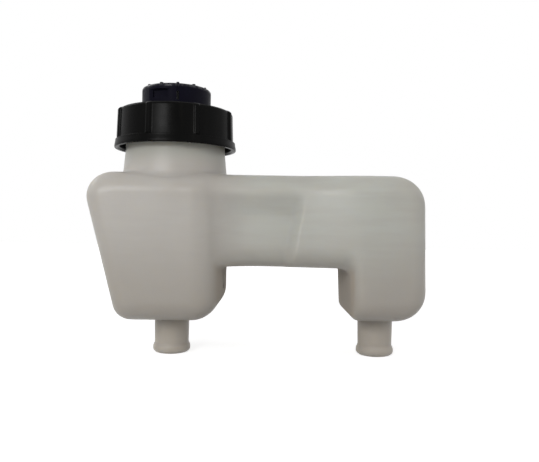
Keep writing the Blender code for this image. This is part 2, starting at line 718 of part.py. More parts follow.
def make_strainer(material):
    """The basket that hangs in the neck and catches dirt as fluid is poured in."""
    top = STRAINER_Z + STRAINER_FLANGE_THICKNESS
    bottom = top - STRAINER_DEPTH
    profile = [
        (STRAINER_BOTTOM_RADIUS, bottom),
        (STRAINER_TOP_RADIUS, STRAINER_Z - STRAINER_COLLAR),
        (STRAINER_TOP_RADIUS, STRAINER_Z),
        (STRAINER_FLANGE_RADIUS, STRAINER_Z),
        (STRAINER_FLANGE_RADIUS, top),
    ]
    strainer = add_object("strainer", turned(profile, ROUND_STEPS, NECK_X), material)
    hollow = turned(
        [
            (STRAINER_BOTTOM_RADIUS - STRAINER_WALL, bottom + STRAINER_WALL),
            (STRAINER_TOP_RADIUS - STRAINER_WALL, STRAINER_Z - STRAINER_COLLAR),
            (STRAINER_TOP_RADIUS - STRAINER_WALL, top + CUT_OVER),
        ],
        ROUND_STEPS, NECK_X,
    )
    boolean(strainer, add_cutter("strainer_hollow", hollow), "DIFFERENCE")
    axis = Vector((NECK_X, 0.0, 0.0))
    slots = bmesh.new()
    inside, outside = STRAINER_BOTTOM_RADIUS - 2 * STRAINER_WALL, STRAINER_TOP_RADIUS + STRAINER_WALL
    for k in range(STRAINER_SLOTS):
        way = direction(360.0 * (k + 0.5) / STRAINER_SLOTS)
        add_box(slots, axis + way * (inside + outside) / 2, way, outside - inside,
                STRAINER_SLOT_WIDTH, bottom + STRAINER_SLOT_BOTTOM, top - STRAINER_SLOT_TOP)
    boolean(strainer, add_cutter("strainer_slots", slots), "DIFFERENCE")
    holes = bmesh.new()
    hole_circle = STRAINER_BOTTOM_RADIUS - STRAINER_HOLE_INSET
    for k in range(STRAINER_HOLES):
        centre = axis + direction(360.0 * k / STRAINER_HOLES) * hole_circle
        rows = [
            [
                holes.verts.new((
                    centre.x + STRAINER_HOLE_RADIUS * math.cos(math.tau * j / STRAINER_HOLE_STEPS),
                    centre.y + STRAINER_HOLE_RADIUS * math.sin(math.tau * j / STRAINER_HOLE_STEPS),
                    height,
                ))
                for j in range(STRAINER_HOLE_STEPS)
            ]
            for height in (bottom - STRAINER_WALL, bottom + 2 * STRAINER_WALL)
        ]
        grid_faces(holes, rows)
        holes.faces.new(rows[0])
        holes.faces.new(rows[1])
    boolean(strainer, add_cutter("strainer_holes", holes), "DIFFERENCE")
    return strainer


def make_gasket(material):
    """The flat rubber ring that seals the cap to the neck."""
    profile = [
        (GASKET_INNER_RADIUS, GASKET_Z),
        (GASKET_OUTER_RADIUS, GASKET_Z),
        (GASKET_OUTER_RADIUS, GASKET_Z + GASKET_THICKNESS),
        (GASKET_INNER_RADIUS, GASKET_Z + GASKET_THICKNESS),
    ]
    return add_object("neck_gasket", turned(profile, ROUND_STEPS, NECK_X, hollow=True), material)


def make_inner_cap(material):
    """The vented cap that stands through the ring: a flange, a knob with two flats, and a skirt."""
    knob_top = RING_TOP_Z + CAP_KNOB_HEIGHT - RING_TOP_THICKNESS - SEAT_GAP
    flange_top = CAP_Z + CAP_FLANGE_THICKNESS
    profile = [
        (CAP_SKIRT_RADIUS, CAP_Z - CAP_SKIRT_DEPTH),
        (CAP_SKIRT_RADIUS, CAP_Z),
        (CAP_FLANGE_RADIUS, CAP_Z),
        (CAP_FLANGE_RADIUS, flange_top),
        (CAP_KNOB_RADIUS, flange_top),
        *arc(CAP_KNOB_RADIUS - CAP_KNOB_EDGE, knob_top - CAP_KNOB_EDGE, CAP_KNOB_EDGE, 0.0, 90.0, 3),
    ]
    cap = add_object("inner_cap", turned(profile, ROUND_STEPS, NECK_X), material)
    skirt_bore = CAP_SKIRT_RADIUS - CAP_WALL
    groove = skirt_bore + BAFFLE_GROOVE_DEPTH
    skirt_bottom = CAP_Z - CAP_SKIRT_DEPTH
    groove_bottom = skirt_bottom + BAFFLE_LIP
    groove_top = groove_bottom + BAFFLE_THICKNESS + 2 * SEAT_GAP
    hollow = turned(
        [
            (skirt_bore, skirt_bottom - CUT_OVER),
            (skirt_bore, groove_bottom),
            (groove, groove_bottom),
            (groove, groove_top),
            (skirt_bore, groove_top),
            (skirt_bore, knob_top - CAP_CROWN_THICKNESS),
        ],
        ROUND_STEPS, NECK_X,
    )
    boolean(cap, add_cutter("inner_cap_hollow", hollow), "DIFFERENCE")
    axis = Vector((NECK_X, 0.0, 0.0))
    flats = bmesh.new()
    flat_distance = CAP_KNOB_RADIUS - CAP_FLAT_DEPTH
    flat_depth = 2 * CAP_FLAT_DEPTH
    for turn in (0.0, 180.0):
        way = direction(CAP_FLAT_DIRECTION + turn)
        add_box(flats, axis + way * (flat_distance + flat_depth / 2), way, flat_depth,
                CAP_KNOB_RADIUS * 2, RING_TOP_Z + SEAT_GAP, knob_top - CAP_CROWN_THICKNESS)
    boolean(cap, add_cutter("inner_cap_flats", flats), "DIFFERENCE")
    vents = bmesh.new()
    vent_top = knob_top - CAP_CROWN_THICKNESS - CAP_WALL / 2
    for turn in (0.0, 180.0):
        way = direction(CAP_VENT_DIRECTION + turn)
        add_box(vents, axis + way * CAP_KNOB_RADIUS, way, 3 * CAP_WALL, CAP_VENT_WIDTH,
                vent_top - CAP_VENT_HEIGHT, vent_top)
    boolean(cap, add_cutter("inner_cap_vents", vents), "DIFFERENCE")
    ribs = bmesh.new()
    rib_middle = CAP_KNOB_RADIUS - CAP_KNOB_EDGE - CAP_RIB_LENGTH / 2
    for k in range(CAP_RIBS):
        way = direction(CAP_VENT_DIRECTION + 360.0 * k / CAP_RIBS)
        add_box(ribs, axis + way * rib_middle, way, CAP_RIB_LENGTH, CAP_RIB_WIDTH,
                knob_top - CAP_RIB_HEIGHT, knob_top + CAP_RIB_HEIGHT)
    boolean(cap, add_cutter("inner_cap_ribs", ribs), "UNION")
    return cap


def make_baffle(material):
    """The disc that keeps splashes from the vent, with one small hole off its middle."""
    low = CAP_Z - CAP_SKIRT_DEPTH + BAFFLE_LIP + SEAT_GAP
    radius = CAP_SKIRT_RADIUS - CAP_WALL + BAFFLE_GROOVE_DEPTH - SEAT_GAP
    disc = turned([(radius, low), (radius, low + BAFFLE_THICKNESS)], ROUND_STEPS, NECK_X)
    baffle = add_object("vent_baffle", disc, material)
    hole = turned([(BAFFLE_HOLE_RADIUS, low - CUT_OVER), (BAFFLE_HOLE_RADIUS, low + CUT_OVER)],
                  BAFFLE_HOLE_STEPS, NECK_X + BAFFLE_HOLE_OFFSET)
    boolean(baffle, add_cutter("baffle_hole", hole), "DIFFERENCE")
    return baffle


def ring_stations():
    """Angles round the ring, each with how far the ribs stand out there, from 0 to 1."""
    sector = 360.0 / RING_RIBS
    half_rib = math.degrees(RING_RIB_WIDTH / 2 / RING_PANEL_RADIUS)
    chamfer = math.degrees(RING_RIB_CHAMFER / RING_PANEL_RADIUS)
    stations = []
    for k in range(RING_RIBS):
        middle = RING_RIB_DIRECTION + sector * (k + 0.5)
        stations += [
            (middle - half_rib - chamfer, 0.0),
            (middle - half_rib, 1.0),
            (middle + half_rib, 1.0),
            (middle + half_rib + chamfer, 0.0),
        ]
        plain = sector - 2 * (half_rib + chamfer)
        stations += [(middle + half_rib + chamfer + plain * j / 4, 0.0) for j in (1, 2, 3)]
    return stations


def make_ring(material):
    """The screwed ring: a ribbed wall with a flared lip, a top with a round hole, and a thread."""
    hole = CAP_KNOB_RADIUS + RING_HOLE_CLEARANCE
    proud = RING_RIB_PROUD
    wall = RING_PANEL_RADIUS
    lip_bore = RING_LIP_RADIUS - RING_LIP_THICKNESS
    top_wall = wall - RING_DRAFT
    top_round = arc(top_wall - RING_TOP_EDGE, RING_TOP_Z - RING_TOP_EDGE, RING_TOP_EDGE, 0.0, 90.0, 3)
    # Each point: radius, height and how much of the ribs' height it takes at a rib
    profile = [
        (lip_bore, RING_LIP_Z, 0.0),
        (RING_LIP_RADIUS - RING_LIP_BEVEL, RING_LIP_Z, 0.0),
        (RING_LIP_RADIUS, RING_LIP_Z + RING_LIP_BEVEL, 0.0),
        (wall + proud, RING_FLARE_Z - RING_LEDGE, 0.0),
        (wall + proud, RING_FLARE_Z, 0.0),
        (wall, RING_FLARE_Z, proud),
        (top_round[0][0], top_round[0][1], proud),
        (top_round[1][0], top_round[1][1], proud * 0.8),
        (top_round[2][0], top_round[2][1], proud * 0.3),
        (top_round[3][0], top_round[3][1], 0.0),
        (hole, RING_TOP_Z, 0.0),
        (hole, RING_UNDERSIDE_Z, 0.0),
        (RING_BORE_RADIUS, RING_UNDERSIDE_Z, 0.0),
        (RING_BORE_RADIUS, RING_FLARE_Z, 0.0),
    ]
    bm = bmesh.new()
    rows = []
    for radius, height, rib in profile:
        row = []
        for angle, share in ring_stations():
            place = direction(angle) * (radius + rib * share)
            row.append(bm.verts.new((NECK_X + place.x, place.y, height)))
        rows.append(row)
    grid_faces(bm, rows, closed_rows=True)
    ring = add_object("cap_ring", bm, material)
    # The ring's ridge bears up against the underside of the neck's ridge when the cap is tight
    helix_z = NECK_THREAD_START_Z - (THREAD_ROOT_WIDTH + THREAD_CREST_WIDTH) / 2 - SEAT_GAP
    start_turn = (RING_FLARE_Z + THREAD_ROOT_WIDTH / 2 - helix_z) / THREAD_PITCH
    crest = NECK_RADIUS + RING_THREAD_CLEARANCE
    thread = helical_ridge(NECK_X, RING_BORE_RADIUS, crest, helix_z, start_turn, RING_THREAD_TURNS,
                           RING_RIB_PROUD / 2)
    boolean(ring, add_cutter("ring_thread_form", thread), "UNION")
    return ring


def main():
    for obj in list(bpy.data.objects):
        bpy.data.objects.remove(obj)
    natural = make_material("natural translucent plastic", (0.62, 0.60, 0.55), 0.42)
    white = make_material("white plastic", (0.70, 0.70, 0.67), 0.50)
    black = make_material("black plastic", (0.012, 0.012, 0.010), 0.38)
    navy = make_material("dark blue plastic", (0.012, 0.012, 0.035), 0.40)
    rubber = make_material("black rubber", (0.010, 0.010, 0.010), 0.80)
    make_tank(natural)
    make_strainer(white)
    make_gasket(rubber)
    make_inner_cap(navy)
    make_baffle(navy)
    make_ring(black)


main()
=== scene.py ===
"""The looks of a brake fluid reservoir: a translucent moulded tank with two chambers, closed by a
black screwed ring that holds down a dark vented inner cap.

Metres, +Z up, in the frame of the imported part. Each section makes one piece, in the order in which
the reservoir is put together: tank, strainer, gasket, baffle, inner cap, ring.
"""

import math

import bmesh
import bpy
import numpy as np
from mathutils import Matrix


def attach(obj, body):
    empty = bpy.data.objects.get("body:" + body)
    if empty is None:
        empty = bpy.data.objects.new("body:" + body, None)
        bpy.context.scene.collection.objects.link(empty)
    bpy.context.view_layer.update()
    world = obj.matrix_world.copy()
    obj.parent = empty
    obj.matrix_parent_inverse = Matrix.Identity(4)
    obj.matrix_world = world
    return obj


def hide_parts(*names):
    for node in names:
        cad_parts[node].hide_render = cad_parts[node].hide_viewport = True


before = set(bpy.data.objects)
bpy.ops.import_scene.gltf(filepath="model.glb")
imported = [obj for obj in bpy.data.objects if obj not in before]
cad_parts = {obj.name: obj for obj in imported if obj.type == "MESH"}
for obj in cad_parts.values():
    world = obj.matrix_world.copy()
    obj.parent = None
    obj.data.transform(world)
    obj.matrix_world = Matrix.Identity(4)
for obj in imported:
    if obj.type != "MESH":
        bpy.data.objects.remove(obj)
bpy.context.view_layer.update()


# The camera stands level before the tank's long side, at the height of the bridge, and is turned a
# little about its own axis. At the part, its view is seven quarters as wide as the part.
PHOTO_WIDTH = 539
FOCAL_LENGTH_IN_PIXELS = 560
SENSOR_WIDTH = 36.0
CAMERA_PLACE = (0.004975, -0.2352, 0.0509)
CAMERA_ROLL = -0.9
NEAREST_SEEN = 0.01


def placed(name, data):
    """A new object of the scene, at the origin, with its data under the same name."""
    data.name = name
    item = bpy.data.objects.new(name, data)
    bpy.context.scene.collection.objects.link(item)
    return item


camera_data = bpy.data.cameras.new("camera")
camera_data.sensor_width = SENSOR_WIDTH
camera_data.lens = SENSOR_WIDTH * FOCAL_LENGTH_IN_PIXELS / PHOTO_WIDTH
camera_data.clip_start = NEAREST_SEEN
camera = placed("camera", camera_data)
camera.location = CAMERA_PLACE
camera.rotation_euler = (math.radians(90.0), math.radians(CAMERA_ROLL), 0.0)
bpy.context.scene.camera = camera


# Tank, blow-moulded in one piece from natural polypropylene with walls of two millimetres. The
# filler chamber on the left and the small chamber on the right are joined by a bridge with a sunk
# panel. It hangs from its hoses and has no screws of its own.
HALF_WIDTH = 0.0659
HALF_DEPTH = 0.0248
WALL = 0.0020
FILLER_FLOOR_Z = 0.0156
SMALL_FLOOR_Z = 0.0164
TANK_TOP_Z = 0.0732
NECK_X = -0.0348
LEFT_FOOT_X = -0.0483
LEFT_FOOT_RADIUS = 0.0070
LEFT_SHOULDER_RADIUS = 0.0098
LEFT_SHOULDER_DROP = 0.0099
TOP_BEND_RADIUS = 0.1000
RIGHT_SHOULDER_RADIUS = 0.0128
RIGHT_SHOULDER_X = 0.0134
RIGHT_SHOULDER_DROP = 0.0130
RIGHT_FOOT_RADIUS = 0.0122
BRIDGE_UNDERSIDE_Z = 0.0365
GAP_LEFT_X = -0.0139
GAP_LEFT_FOOT_RADIUS = 0.0112
GAP_LEFT_FILLET = 0.0022
GAP_RIGHT_X = 0.0363
GAP_RIGHT_FOOT_RADIUS = 0.0034
GAP_RIGHT_FILLET = 0.0032
SMALL_CHAMBER_LEAN = 0.0006
LEFT_EDGE = 0.0070
FILLER_INNER_EDGE = 0.0115
SMALL_INNER_EDGE = 0.0045
RIGHT_EDGE = 0.0080
FLOOR_EDGE = 0.0085
TOP_EDGE = 0.0082
UNDERSIDE_EDGE = 0.0085
LEAST_REACH = 0.0030
BRIDGE_SETBACK = 0.0056
PANEL_SETBACK = 0.0086
BRIDGE_HOLLOW = 0.0200
PANEL_TOP_Z = 0.0672
PANEL_SLOPE_HEIGHT = 0.0110
PANEL_EDGE_X = 0.0122
PANEL_EDGE_LEAN = 0.172
PANEL_EDGE_WIDTH = 0.0052
RAMP_START_X = 0.0130
RAMP_END_X = 0.0450
LEAST_SLOPE = 0.0020
FILLET_STRIP = 0.0030


def ramp(value, start, end):
    """Level at both ends: 3t^2 - 2t^3, where t goes from 0 at start to 1 at end."""
    share = np.clip((value - start) / (end - start), 0.0, 1.0)
    return share * share * (3.0 - 2.0 * share)


def taut_path(circles, first_heading, last_heading, samples=60):
    """The belt round circles in the front view, as x, z, heading and arc number at each sample.

    A signed radius is positive where the circle lies to the right of the way the belt goes. Two
    circles' common tangent has the heading atan2(dz, dx) - asin((r1 - r2) / distance), and a point
    of an arc is (x - r sin heading, z + r cos heading). Arc numbers are whole on the arcs and run
    evenly along the straights between them.
    """
    x, z, radius = np.array(circles).T
    span = np.hypot(np.diff(x), np.diff(z))
    tangents = np.arctan2(np.diff(z), np.diff(x)) + np.arcsin(np.diff(radius) / span)
    heading_in = np.concatenate(([first_heading], tangents))
    heading_out = np.concatenate((tangents, [last_heading]))
    t = np.linspace(0.0, 1.0, samples)
    heading = heading_in[:, None] + (heading_out - heading_in)[:, None] * t
    arc_x = x[:, None] - radius[:, None] * np.sin(heading)
    arc_z = z[:, None] + radius[:, None] * np.cos(heading)
    number = np.arange(len(circles))[:, None] + 0.5 * t
    inner = t[1:-1]
    line_x = arc_x[:-1, -1:] + (arc_x[1:, :1] - arc_x[:-1, -1:]) * inner
    line_z = arc_z[:-1, -1:] + (arc_z[1:, :1] - arc_z[:-1, -1:]) * inner
    line_heading = np.repeat(tangents[:, None], len(inner), axis=1)
    line_number = np.arange(len(circles) - 1)[:, None] + 0.5 + 0.5 * inner
    arcs = np.stack((arc_x, arc_z, heading, number)).reshape(4, -1)
    lines = np.stack((line_x, line_z, line_heading, line_number)).reshape(4, -1)
    belt = np.concatenate((arcs, lines), axis=1)
    return belt[:, np.argsort(belt[3], kind="stable")]


class TankForm:
    """The tank's surface, shrunk all round by an inset: its front outline and its half depth."""

    def __init__(self, inset):
        self.inset = inset
        self.outer = taut_path(
            (
                (LEFT_FOOT_X, FILLER_FLOOR_Z + LEFT_FOOT_RADIUS, LEFT_FOOT_RADIUS - inset),
                (-HALF_WIDTH + LEFT_SHOULDER_RADIUS, TANK_TOP_Z - LEFT_SHOULDER_DROP,
                 LEFT_SHOULDER_RADIUS - inset),
                (NECK_X, TANK_TOP_Z - TOP_BEND_RADIUS, TOP_BEND_RADIUS - inset),
                (HALF_WIDTH - RIGHT_SHOULDER_X, TANK_TOP_Z - RIGHT_SHOULDER_DROP,
                 RIGHT_SHOULDER_RADIUS - inset),
                (HALF_WIDTH - RIGHT_FOOT_RADIUS, SMALL_FLOOR_Z + RIGHT_FOOT_RADIUS,
                 RIGHT_FOOT_RADIUS - inset),
            ),
            math.pi, -math.pi,
        )
        self.corner = (GAP_RIGHT_X - GAP_RIGHT_FILLET, BRIDGE_UNDERSIDE_Z - GAP_RIGHT_FILLET)
        self.inner = taut_path(
            (
                (GAP_LEFT_X - GAP_LEFT_FOOT_RADIUS, FILLER_FLOOR_Z + GAP_LEFT_FOOT_RADIUS,
                 inset - GAP_LEFT_FOOT_RADIUS),
                (GAP_LEFT_X + GAP_LEFT_FILLET, BRIDGE_UNDERSIDE_Z - GAP_LEFT_FILLET,
                 GAP_LEFT_FILLET + inset),
                (*self.corner, GAP_RIGHT_FILLET + inset),
                (GAP_RIGHT_X + SMALL_CHAMBER_LEAN + GAP_RIGHT_FOOT_RADIUS,
                 SMALL_FLOOR_Z + GAP_RIGHT_FOOT_RADIUS, inset - GAP_RIGHT_FOOT_RADIUS),
            ),
            0.0, 0.0,
        )
        self.left_wall = self.part(self.outer, 0.5, 0.5)[:, 0]
        self.right_wall = self.part(self.outer, 3.5, 3.5)[:, 0]
        self.small_wall = self.part(self.inner, 3.0, 3.0)[:, 0]

    @staticmethod
    def part(path, start, end, backwards=False):
        """A path between two arc numbers. Backwards, its headings turn by half a turn."""
        stretch = path[:, (path[3] >= start - 1e-9) & (path[3] <= end + 1e-9)]
        if not backwards:
            return stretch
        stretch = stretch[:, ::-1].copy()
        stretch[2] = (stretch[2] + 2.0 * math.pi) % math.tau - math.pi
        return stretch

    @staticmethod
    def inward(wall, x, z):
        """How far right of a straight wall: (p - wall's point) . (sin heading, -cos heading)."""
        return (x - wall[0]) * math.sin(wall[2]) - (z - wall[1]) * math.cos(wall[2])

    def bridge(self, x, z):
        """Half depth right of the filler chamber: full - setback - edge * (1 - sqrt(1 - s^2)).

        The setback is the bridge's, deepened in the sunk panel, and fades out to the small chamber.
        s falls from 1 on the gap's rounded outline to 0 at the edge's width away from it. Inside
        the gap the depth falls away by three times the distance.
        """
        past_edge = x - PANEL_EDGE_X - PANEL_EDGE_LEAN * (z - BRIDGE_UNDERSIDE_Z)
        sunk = 1.0 - ramp(past_edge, -PANEL_EDGE_WIDTH / 2, PANEL_EDGE_WIDTH / 2)
        sunk = sunk * (1.0 - ramp(z, PANEL_TOP_Z - PANEL_SLOPE_HEIGHT, PANEL_TOP_Z))
        setback = BRIDGE_SETBACK + (PANEL_SETBACK - BRIDGE_SETBACK) * sunk
        setback = setback * (1.0 - ramp(x, RAMP_START_X, RAMP_END_X))
        radius = GAP_RIGHT_FILLET + self.inset
        right, above = x - self.corner[0], z - self.corner[1]
        way = self.small_wall[2]
        beside = right * math.cos(way) + above * math.sin(way) >= 0.0
        clear = np.where(right <= 0.0, above - radius, np.where(
            beside, -self.inward(self.small_wall, x, z), np.hypot(right, above) - radius))
        angle = np.where(beside, -way, np.arctan2(right, above))
        turn = np.where(right <= 0.0, 0.0, ramp(angle, 0.0, -way))
        edge = UNDERSIDE_EDGE + (SMALL_INNER_EDGE - UNDERSIDE_EDGE) * turn - self.inset
        short = 1.0 - np.clip(clear / edge, 0.0, 1.0)
        depth = HALF_DEPTH - setback - self.inset - edge * (1.0 - np.sqrt(1.0 - short * short))
        return depth + 3.0 * np.minimum(0.0, clear)

    def run_out(self, x, full, low):
        """The half depth where the filler chamber's rounded edge runs out onto the lower bridge.

        The edge's arc, full - r + sqrt(r^2 - p^2) at p past its start, goes over into a hollow arc,
        low + h - sqrt(h^2 - q^2) at q before its end. They meet at p = r sin a, and the hollow ends
        at p = (r + h) sin a, where cos a = 1 - (full - low) / (r + h).
        """
        edge, hollow = FILLER_INNER_EDGE - self.inset, BRIDGE_HOLLOW + self.inset
        past = x - (GAP_LEFT_X - FILLER_INNER_EDGE)
        cosine = 1.0 - np.clip((full - low) / (edge + hollow), 0.0, 1.0)
        sine = np.sqrt(1.0 - cosine * cosine)
        within = np.clip(past, 0.0, edge)
        rounded = full - edge + np.sqrt(edge * edge - within * within)
        before = np.clip((edge + hollow) * sine - past, 0.0, hollow)
        hollowed = low + hollow - np.sqrt(hollow * hollow - before * before)
        return np.where(past < edge * sine, rounded, hollowed)

    def half_depth(self, x, z):
        """The least of the run out onto the bridge and the tank's two rounded end edges.

        A rounded edge is full - r + sqrt(r^2 - (r - d)^2) at the distance d < r from its wall.
        """
        full = HALF_DEPTH - self.inset

        def rounded(distance, radius):
            radius = radius - self.inset
            short = np.maximum(0.0, radius - np.maximum(distance, 0.0))
            return full - radius + np.sqrt(np.maximum(0.0, radius * radius - short * short))

        left = rounded(self.inward(self.left_wall, x, z), LEFT_EDGE)
        right = rounded(self.inward(self.right_wall, x, z), RIGHT_EDGE)
        depth = self.run_out(x, full, self.bridge(x, z))
        return np.minimum(np.minimum(depth, full), np.minimum(left, right))

    def stations(self, fine):
        """Lines across the front view from left to right: each its low and high (x, z, heading).

        Under the bridge a line starts on the gap's outline. The lines at the gap's two upright walls
        run along them, so that the line beside the wall and the one above it coincide.
        """
        inset = self.inset
        filler_floor = np.concatenate(
            (self.part(self.outer, 0.0, 0.5, True), self.part(self.inner, 0.0, 0.5)), axis=1)
        small_floor = np.concatenate(
            (self.part(self.inner, 3.0, 3.5), self.part(self.outer, 4.0, 4.5, True)), axis=1)
        top = self.part(self.outer, 1.0, 3.5)
        underside = self.part(self.inner, 1.5, 2.0)
        lines, under = [], []

        def at(path, measure, wanted):
            """Where a measure that rises or falls along a path has the wanted values."""
            order = slice(None) if measure[-1] > measure[0] else slice(None, None, -1)
            return np.stack([np.interp(wanted, measure[order], row[order]) for row in path[:3]])

        def add(low, high, over_gap=False):
            lines.append(np.stack((low, high)))
            under.append(np.full(low.shape[1], over_gap))

        def shares(count, from_zero=False):
            first = 0 if from_zero else 1
            return np.arange(first, count * fine + 1) / (count * fine)

        def sweep(path, low_end, high_end, count, over_gap=False):
            low_x, high_x = lines[-1][0, 0, -1], lines[-1][1, 0, -1]
            t = shares(count)
            add(at(path, path[0], low_x + (low_end - low_x) * t),
                at(top, top[0], high_x + (high_end - high_x) * t), over_gap)

        edge = LEFT_EDGE - inset
        t = edge * (1.0 - np.cos(shares(6, True) * math.pi / 2))
        add(at(filler_floor, self.inward(self.left_wall, *filler_floor[:2]), t),
            at(top, self.inward(self.left_wall, *top[:2]), t))
        edge = FILLER_INNER_EDGE - inset
        wall = GAP_LEFT_X - inset
        sweep(filler_floor, wall - edge, wall - edge, 6)
        x = wall - edge * (1.0 - np.sin(shares(6) * math.pi / 2))
        add(at(filler_floor, filler_floor[0], x), at(top, top[0], x))
        t = shares(3, True)
        add(at(self.inner, self.inner[3], 1.0 + 0.5 * t),
            at(top, top[0], wall + FILLET_STRIP * t ** 2), True)

        edge_top_x = PANEL_EDGE_X + PANEL_EDGE_LEAN * (TANK_TOP_Z - BRIDGE_UNDERSIDE_Z)
        half = PANEL_EDGE_WIDTH / 2
        sweep(underside, PANEL_EDGE_X - half, edge_top_x - half, 5, True)
        sweep(underside, PANEL_EDGE_X + half, edge_top_x + half, 3, True)
        lean = (self.small_wall[1] - TANK_TOP_Z) / math.tan(self.small_wall[2])
        wall = self.small_wall[0] - lean
        sweep(underside, underside[0, -1], wall - FILLET_STRIP, 5, True)
        t = shares(3)
        add(at(self.inner, self.inner[3], 2.0 + 0.5 * t),
            at(top, top[0], wall - FILLET_STRIP * (1.0 - t) ** 2), True)

        edge = SMALL_INNER_EDGE - inset
        t = edge * (1.0 - np.cos(shares(5, True) * math.pi / 2))
        add(at(small_floor, small_floor[0], small_floor[0, 0] + t), at(top, top[0], wall + t))
        foot_start = HALF_WIDTH - RIGHT_FOOT_RADIUS
        sweep(small_floor, foot_start, foot_start, 3)
        edge = RIGHT_EDGE - inset
        low_path, high_path = small_floor[:, small_floor[0] > foot_start], top[:, top[0] > 0.0]
        low_inward = self.inward(self.right_wall, *low_path[:2])
        high_inward = self.inward(self.right_wall, *high_path[:2])
        sweep(small_floor, at(low_path, low_inward, edge)[0],
              at(high_path, high_inward, edge)[0], 1)
        t = edge * (1.0 - np.sin(shares(6) * math.pi / 2))
        add(at(low_path, low_inward, t), at(high_path, high_inward, t))
        return np.concatenate(lines, axis=2), np.concatenate(under)

    def rows(self, fine, counts):
        """The tank as closed loops, one on each line: up the front, over the top and down the back.

        On a line the front's depth is half_depth less c * (1 - sin a) in the corner at each end,
        where the place runs along the line by r * (1 - cos a). The counts are the points on the
        flat underside, floor corner, lower face, underside's edge, face, panel's slope and top
        corner. A line that starts over the gap takes those of the first three on its underside, so
        that the rest lie at the same heights on neighbouring lines.
        """
        flat_count, corner_count, low_count, edge_count, face_count, slope_count, top_count = counts
        ((low_x, low_z, low_heading), (high_x, high_z, high_heading)), under = self.stations(fine)
        length = np.hypot(high_x - low_x, high_z - low_z)
        way_x, way_z = (high_x - low_x) / length, (high_z - low_z) / length

        def shares(count):
            return np.linspace(0.0, 1.0, count, endpoint=False)[:, None]

        def corner(edge, heading):
            cut = (edge - self.inset) * np.abs(way_z * np.cos(heading) - way_x * np.sin(heading))
            return cut, np.maximum(cut, LEAST_REACH)

        low_cut, low_reach = corner(FLOOR_EDGE, low_heading)
        high_cut, high_reach = corner(TOP_EDGE, high_heading)
        low_cut, low_reach = np.where(under, 0.0, low_cut), np.where(under, 0.0, low_reach)
        left_fillet_z = self.part(self.inner, 1.0, 1.0)[1, 0]
        right_fillet_z = self.part(self.inner, 2.5, 2.5)[1, 0]
        fillet_z = np.where(low_x < 0.0, left_fillet_z, right_fillet_z)
        edge_start = np.where(under, 0.0, (fillet_z - low_z) / way_z)
        edge_end = (BRIDGE_UNDERSIDE_Z + UNDERSIDE_EDGE - low_z) / way_z
        face_end = length - high_reach
        slope_start = (PANEL_TOP_Z - PANEL_SLOPE_HEIGHT - low_z) / way_z
        slope_start = np.minimum(slope_start, face_end - LEAST_SLOPE)
        angle = shares(corner_count) * math.pi / 2
        edge_angle = shares(edge_count) * math.pi / 2
        top_angle = shares(top_count) * math.pi / 2
        distance = np.concatenate((
            np.zeros((flat_count, len(length))),
            low_reach * (1.0 - np.cos(angle)),
            low_reach + (edge_start - low_reach) * shares(low_count),
            edge_start + (edge_end - edge_start) * (1.0 - np.cos(edge_angle)),
            edge_end + (slope_start - edge_end) * shares(face_count),
            slope_start + (face_end - slope_start) * shares(slope_count),
            length - high_reach * (1.0 - np.sin(top_angle)),
            np.tile(length, (flat_count + 1, 1)),
        ))
        x, z = low_x + way_x * distance, low_z + way_z * distance
        depth = self.half_depth(x, z)
        plain = low_count + edge_count + face_count + slope_count
        depth[flat_count:flat_count + corner_count] -= low_cut * (1.0 - np.sin(angle))
        start = flat_count + corner_count + plain
        depth[start:start + top_count] -= high_cut * (1.0 - np.cos(top_angle))
        closing = np.linspace(1.0, 0.0, flat_count + 1)[:, None]
        depth[start + top_count:] = (depth[-1] - high_cut) * closing
        depth[:flat_count] = depth[flat_count] * shares(flat_count)
        spread = flat_count + corner_count + low_count
        depth[:spread] = np.where(under, depth[spread] * shares(spread), depth[:spread])
        front = np.stack((x, -depth, z), axis=-1)
        back = front[-2:0:-1] * np.array((1.0, -1.0, 1.0))
        return np.concatenate((front, back)).transpose(1, 0, 2)


def grid_mesh(points, closed_rows=False):
    """A mesh from rows of points, each a closed loop: quads (i, j), (i, j+1), (i+1, j+1), (i+1, j).

    Unless the last row is followed by the first, both are closed by fans about their middles.
    """
    count, around = points.shape[:2]
    vertices = points.reshape(-1, 3)
    here = np.arange(count * around).reshape(count, around)
    beside = np.roll(here, -1, axis=1)
    above, above_beside = np.roll(here, -1, axis=0), np.roll(beside, -1, axis=0)
    quads = np.stack((here, beside, above_beside, above), axis=-1)
    fans = []
    if not closed_rows:
        quads = quads[:-1]
        vertices = np.concatenate((vertices, [points[0].mean(axis=0), points[-1].mean(axis=0)]))
        middles = np.repeat([[len(vertices) - 2], [len(vertices) - 1]], around, axis=1)
        fans = np.stack(((beside[0], here[0], middles[0]), (here[-1], beside[-1], middles[1])))
        fans = fans.transpose(0, 2, 1).reshape(-1, 3).tolist()
    mesh = bpy.data.meshes.new("grid")
    mesh.from_pydata(vertices.tolist(), [], quads.reshape(-1, 4).tolist() + fans)
    mesh.update()
    return mesh


def merged(mesh):
    """Joins a mesh's points that lie within a micrometre of each other, and drops what collapses."""
    work = bmesh.new()
    work.from_mesh(mesh)
    bmesh.ops.remove_doubles(work, verts=work.verts, dist=1e-6)
    work.to_mesh(mesh)
    work.free()
    return mesh


def turned_points(profile, steps, centre_x):
    """A profile of (radius, height) carried round an upright axis: (c + r cos a, r sin a, h)."""
    radius, height = np.array(profile).T
    angle = np.linspace(0.0, math.tau, steps, endpoint=False)
    return np.stack((
        centre_x + radius[:, None] * np.cos(angle),
        radius[:, None] * np.sin(angle),
        np.repeat(height[:, None], steps, axis=1),
    ), axis=-1)


